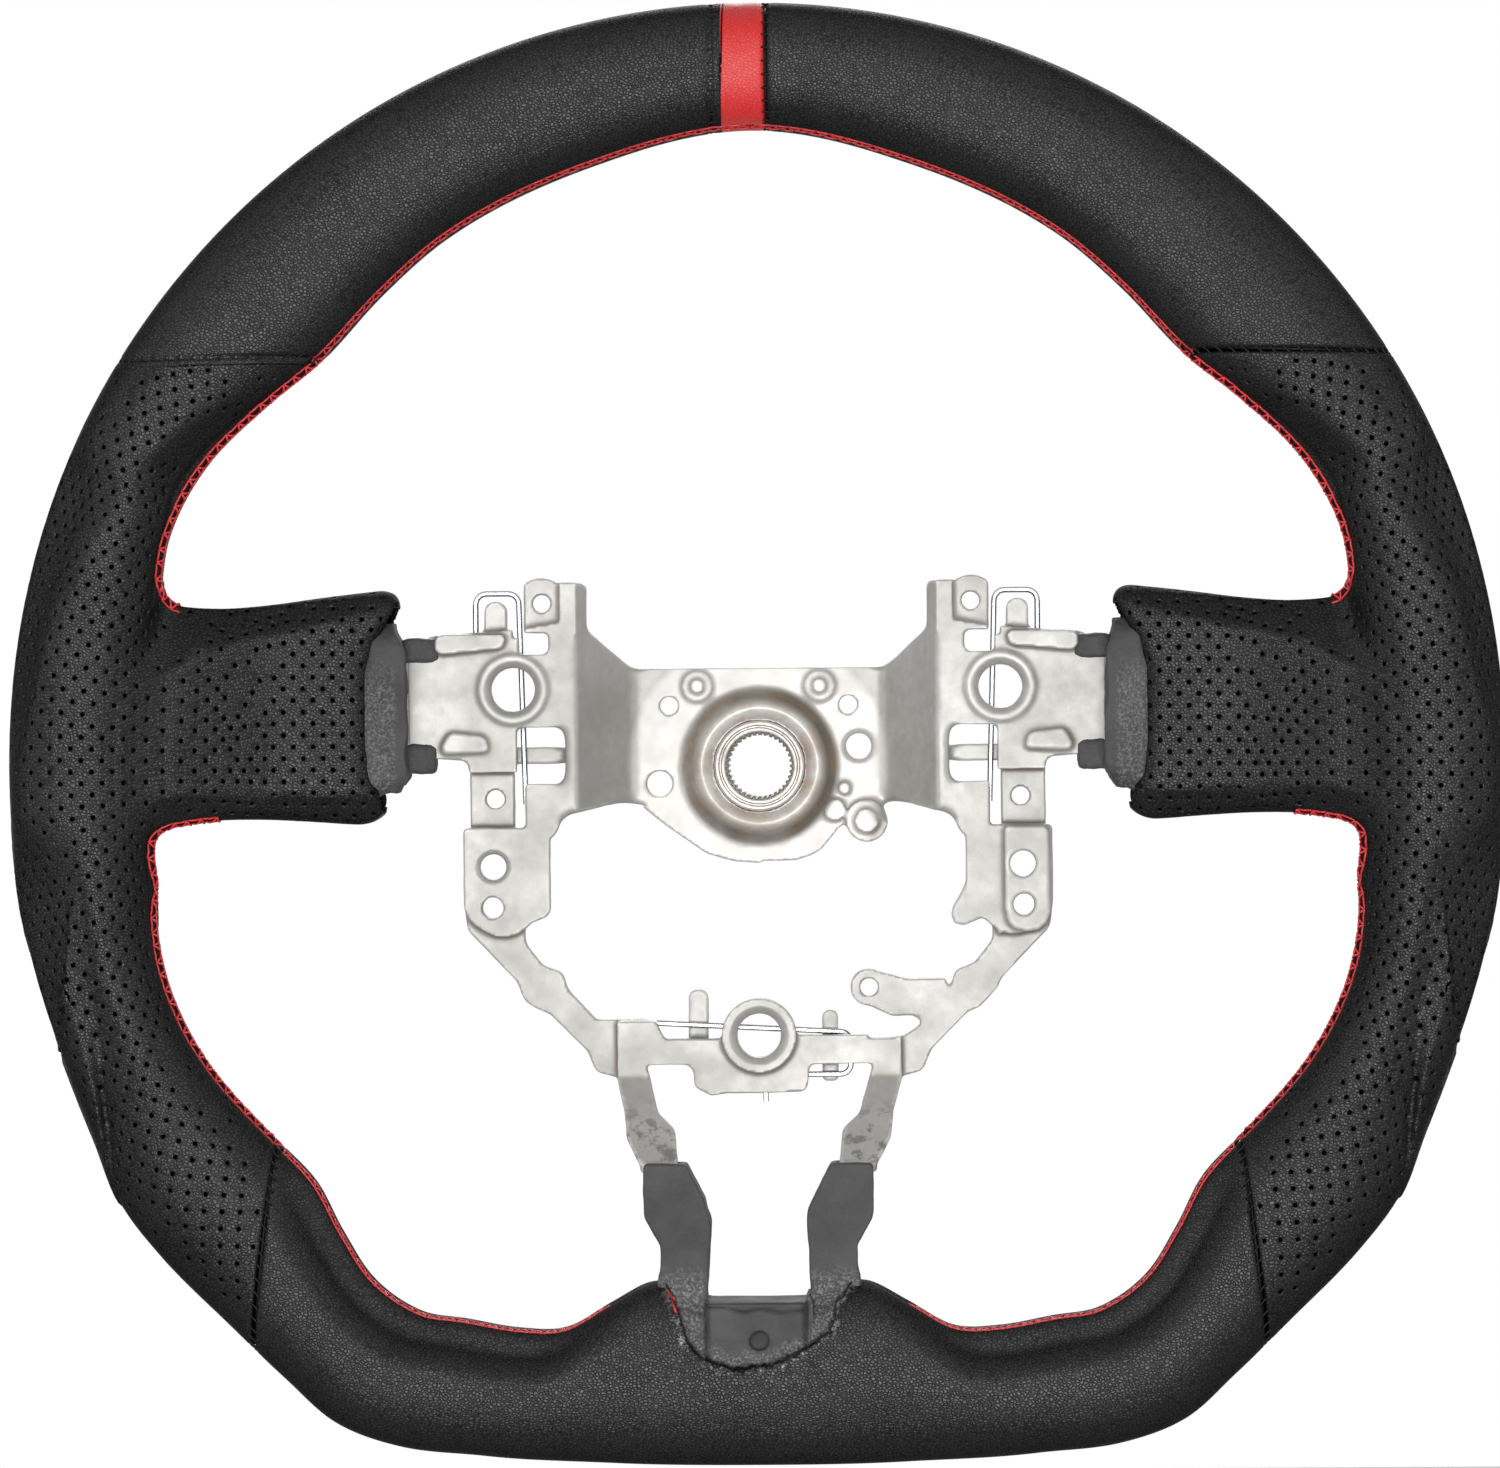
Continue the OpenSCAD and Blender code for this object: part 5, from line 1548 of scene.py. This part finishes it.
def armature_centre():
    """The part of the casting that shows, with its edges and bends rounded."""
    centre = cad_copy("armature_centre", "armature", CENTRE_BOX, voxel=COPY_VOXEL, shapes=[
        (deeper(STRUT_BULGE), *THROUGH, "DIFFERENCE"),
        (deeper(TAB_GAP), *THROUGH, "DIFFERENCE"),
        (deeper(BLOCK_HOOK), PAD_Y - 1.9, PAD_Y + 1.9, "UNION"),
        (deeper(BLOCK_PAD), PAD_Y - 3.4, PAD_Y, "UNION"),
        (disc(65.4, -24.4, 3.2), *THROUGH, "DIFFERENCE"),
        (disc(65.6, -34.5, 2.7), *THROUGH, "DIFFERENCE")])
    q, n = mesh_points(centre)
    edges = mesh_edges(centre)
    # the bends beside the hub plate and at the pads are round
    bend = np.maximum(ridge(np.abs(q[:, 0]), 33.0, 3.2), ridge(np.abs(q[:, 0]), 46.5, 2.2))
    bend *= (q[:, 2] > -14) & (q[:, 2] < 33)
    bend = np.maximum(bend, ridge(np.hypot(q[:, 0], q[:, 2]), 17.5, 2.2))
    for _ in range(30):
        q = q + bend[:, None] * (neighbour_mean(q, edges) - q)
    # the lower edge of the hub plate is an arc
    rho, turn = np.hypot(q[:, 0], q[:, 2]), np.arctan2(q[:, 0], -q[:, 2])
    straight, arc = (np.interp(turn, *outline_radius(line)) for line in (HUB_STRAIGHT, HUB_ARC))
    share = smooth_step(19.8, 22.0, rho) * (np.abs(q[:, 1] + 3) < 9) * (turn > -1.24) * (turn < 0.88)
    q[:, ::2] *= (1 + (arc / straight - 1) * share)[:, None]
    set_points(centre, q + n * (0.06 * lumps(q, 16, 11) + 0.035 * lumps(q, 5, 12))[:, None])
    q, n = mesh_points(centre)
    # painted shade in hollows and a painted highlight on edges, from the surface's curvature
    set_attribute(centre, "relief_shading", np.clip(0.5 + hollows(q, n, edges) * 1.1, 0, 1))
    dress(centre, "cast_metal", "armature")


def armature_arms():
    """The rest of the casting, inside the foam, with the legs narrowed below the part that shows."""
    arms = cad_copy("armature_arms", "armature", CENTRE_BOX, outside=True)
    bm = bmesh.new()
    bm.from_mesh(arms.data)
    for z in (-97.3, -98.4):
        bmesh.ops.bisect_plane(bm, geom=bm.verts[:] + bm.edges[:] + bm.faces[:], plane_co=(0, 0, z * MM),
                               plane_no=(0, 0, 1))
    bm.to_mesh(arms.data)
    bm.free()
    q, _ = mesh_points(arms)
    out = np.abs(q[:, 0])
    legs = (q[:, 2] < -98.2) & (out < 40)
    q[:, 0] += legs * np.sign(q[:, 0]) * (18.0 + (out - 19.5) * 0.3 - out)
    set_points(arms, q)
    set_attribute(arms, "relief_shading", np.full(len(q), 0.5))
    dress(arms, "cast_metal", "armature")


armature_centre()
armature_arms()

# ---------------------------------------------------------------- bushing and carried-over CAD nodes
TEETH, BORE, TOOTH = 36, 7.65, 0.5


def bushing():
    """The splined bushing: rings of points round the bore and the outside, with the splines as teeth."""
    (x0, y0, _), (x1, y1, _) = box_mm("spline_bushing")
    radius = (x1 - x0) / 2 - 0.05
    t = np.radians(np.arange(TEETH * 8) * 360 / (TEETH * 8))
    tooth = np.array([0, 0, 0.1, 0.75, 1, 1, 0.75, 0.1])[np.arange(len(t)) % 8]
    rings = []
    for y, r, cut in ((y0 + 2.0, radius, 0), (y0 + 0.6, radius, 0), (y0 + 0.15, radius - 0.15, 0),
                      (y0, radius - 0.6, 0), (y0, 10.3, 0), (y0 + 0.35, 10.0, 0), (y0 + 0.35, 9.7, 0),
                      (y0, 9.4, 0), (y0, 8.9, 0), (y0 + 0.1, 8.6, 0), (y0 + 0.6, BORE + 0.3, 0.6),
                      (y0 + 1.0, BORE, 1), (y1 - 1.0, BORE, 1), (y1 - 0.4, BORE + 0.5, 0.4), (y1, 8.6, 0),
                      (y1, radius - 0.4, 0), (y1 - 0.4, radius, 0), (y0 + 2.0, radius, 0)):
        rho = r + cut * TOOTH * tooth
        rings.append(np.stack([rho * np.sin(t), np.full(len(t), y), rho * np.cos(t)], -1))
    obj = make_mesh("splined_bushing", np.vstack(rings), grid_faces(len(rings), len(t)),
                    LOOKS["bushing_steel"], False)
    bm = bmesh.new()
    bm.from_mesh(obj.data)
    bmesh.ops.remove_doubles(bm, verts=bm.verts, dist=1e-7)
    bmesh.ops.recalc_face_normals(bm, faces=bm.faces)
    bm.to_mesh(obj.data)
    bm.free()
    finish_piece(obj, "bushing_steel", "spline_bushing")


bushing()
for node in ("rim_core", "airbag_spring_left", "airbag_spring_right", "airbag_spring_lower"):
    set_look(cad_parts[node], "rod_metal" if node == "rim_core" else "zinc_wire")


# ---------------------------------------------------------------- light and floor
WORLD_FILL = 0.20
# name, place, point aimed at, size and power of each lamp
LAMPS = [("key", (-0.25, -1.9, 0.4), (0, 0, 0), (0.7, 0.4), 13.0),
         ("low", (0.1, -1.9, -0.38), (0, 0, -0.05), (0.8, 0.2), 19.0),
         ("left", (-1.7, -0.7, 0.4), (0, 0, 0), (0.4, 0.9), 4.0),
         ("right", (1.7, -0.7, 0.4), (0, 0, 0), (0.4, 0.9), 4.0),
         ("back", (0.0, 1.6, 1.0), (0, 0, 0), (1.2, 0.5), 12.0)]


def make_world():
    """A plain fill on the object, and white where the camera, glass or a reflection sees the world."""
    world = bpy.data.worlds.new("studio")
    bpy.context.scene.world = world
    world.use_nodes = True
    tree = world.node_tree
    fill, white = tree.nodes["Background"], tree.nodes.new("ShaderNodeBackground")
    for node, strength in ((fill, WORLD_FILL), (white, 1.0)):
        node.inputs["Color"].default_value = (1, 1, 1, 1)
        node.inputs["Strength"].default_value = strength
    rays = tree.nodes.new("ShaderNodeLightPath")
    seen = rays.outputs["Is Camera Ray"]
    for kind in ("Is Transmission Ray", "Is Glossy Ray"):
        either = tree.nodes.new("ShaderNodeMath")
        either.operation = "MAXIMUM"
        tree.links.new(seen, either.inputs[0])
        tree.links.new(rays.outputs[kind], either.inputs[1])
        seen = either.outputs[0]
    mix = tree.nodes.new("ShaderNodeMixShader")
    for output, socket in ((seen, mix.inputs["Fac"]), (fill.outputs[0], mix.inputs[1]),
                           (white.outputs[0], mix.inputs[2]),
                           (mix.outputs[0], tree.nodes["World Output"].inputs["Surface"])):
        tree.links.new(output, socket)


def make_lamps():
    for name, at, aim, size, power in LAMPS:
        data = bpy.data.lights.new(name, "AREA")
        data.shape = "RECTANGLE"
        data.size, data.size_y = size
        data.energy = power
        lamp = add_object(name, data)
        lamp.location = at
        lamp.rotation_euler = (Vector(aim) - Vector(at)).to_track_quat("-Z", "Y").to_euler()


def make_floor():
    """A pale floor below the wheel that keeps its shadow."""
    m = Nodes("floor_look")
    m.set("Base Color", m.mix(m.noise(8, 2), (0.78, 0.78, 0.78), (0.82, 0.82, 0.82)))
    m.set("Roughness", 0.75)
    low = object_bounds()[0][2] - 0.13
    bm = bmesh.new()
    bmesh.ops.create_grid(bm, x_segments=8, y_segments=8, size=1.0)
    floor = bm_object("floor", bm)
    floor.location = (0, 0.1, low)
    floor.data.materials.append(m.mat)


bpy.context.scene.view_settings.view_transform = "Standard"
make_world()
make_lamps()
make_floor()
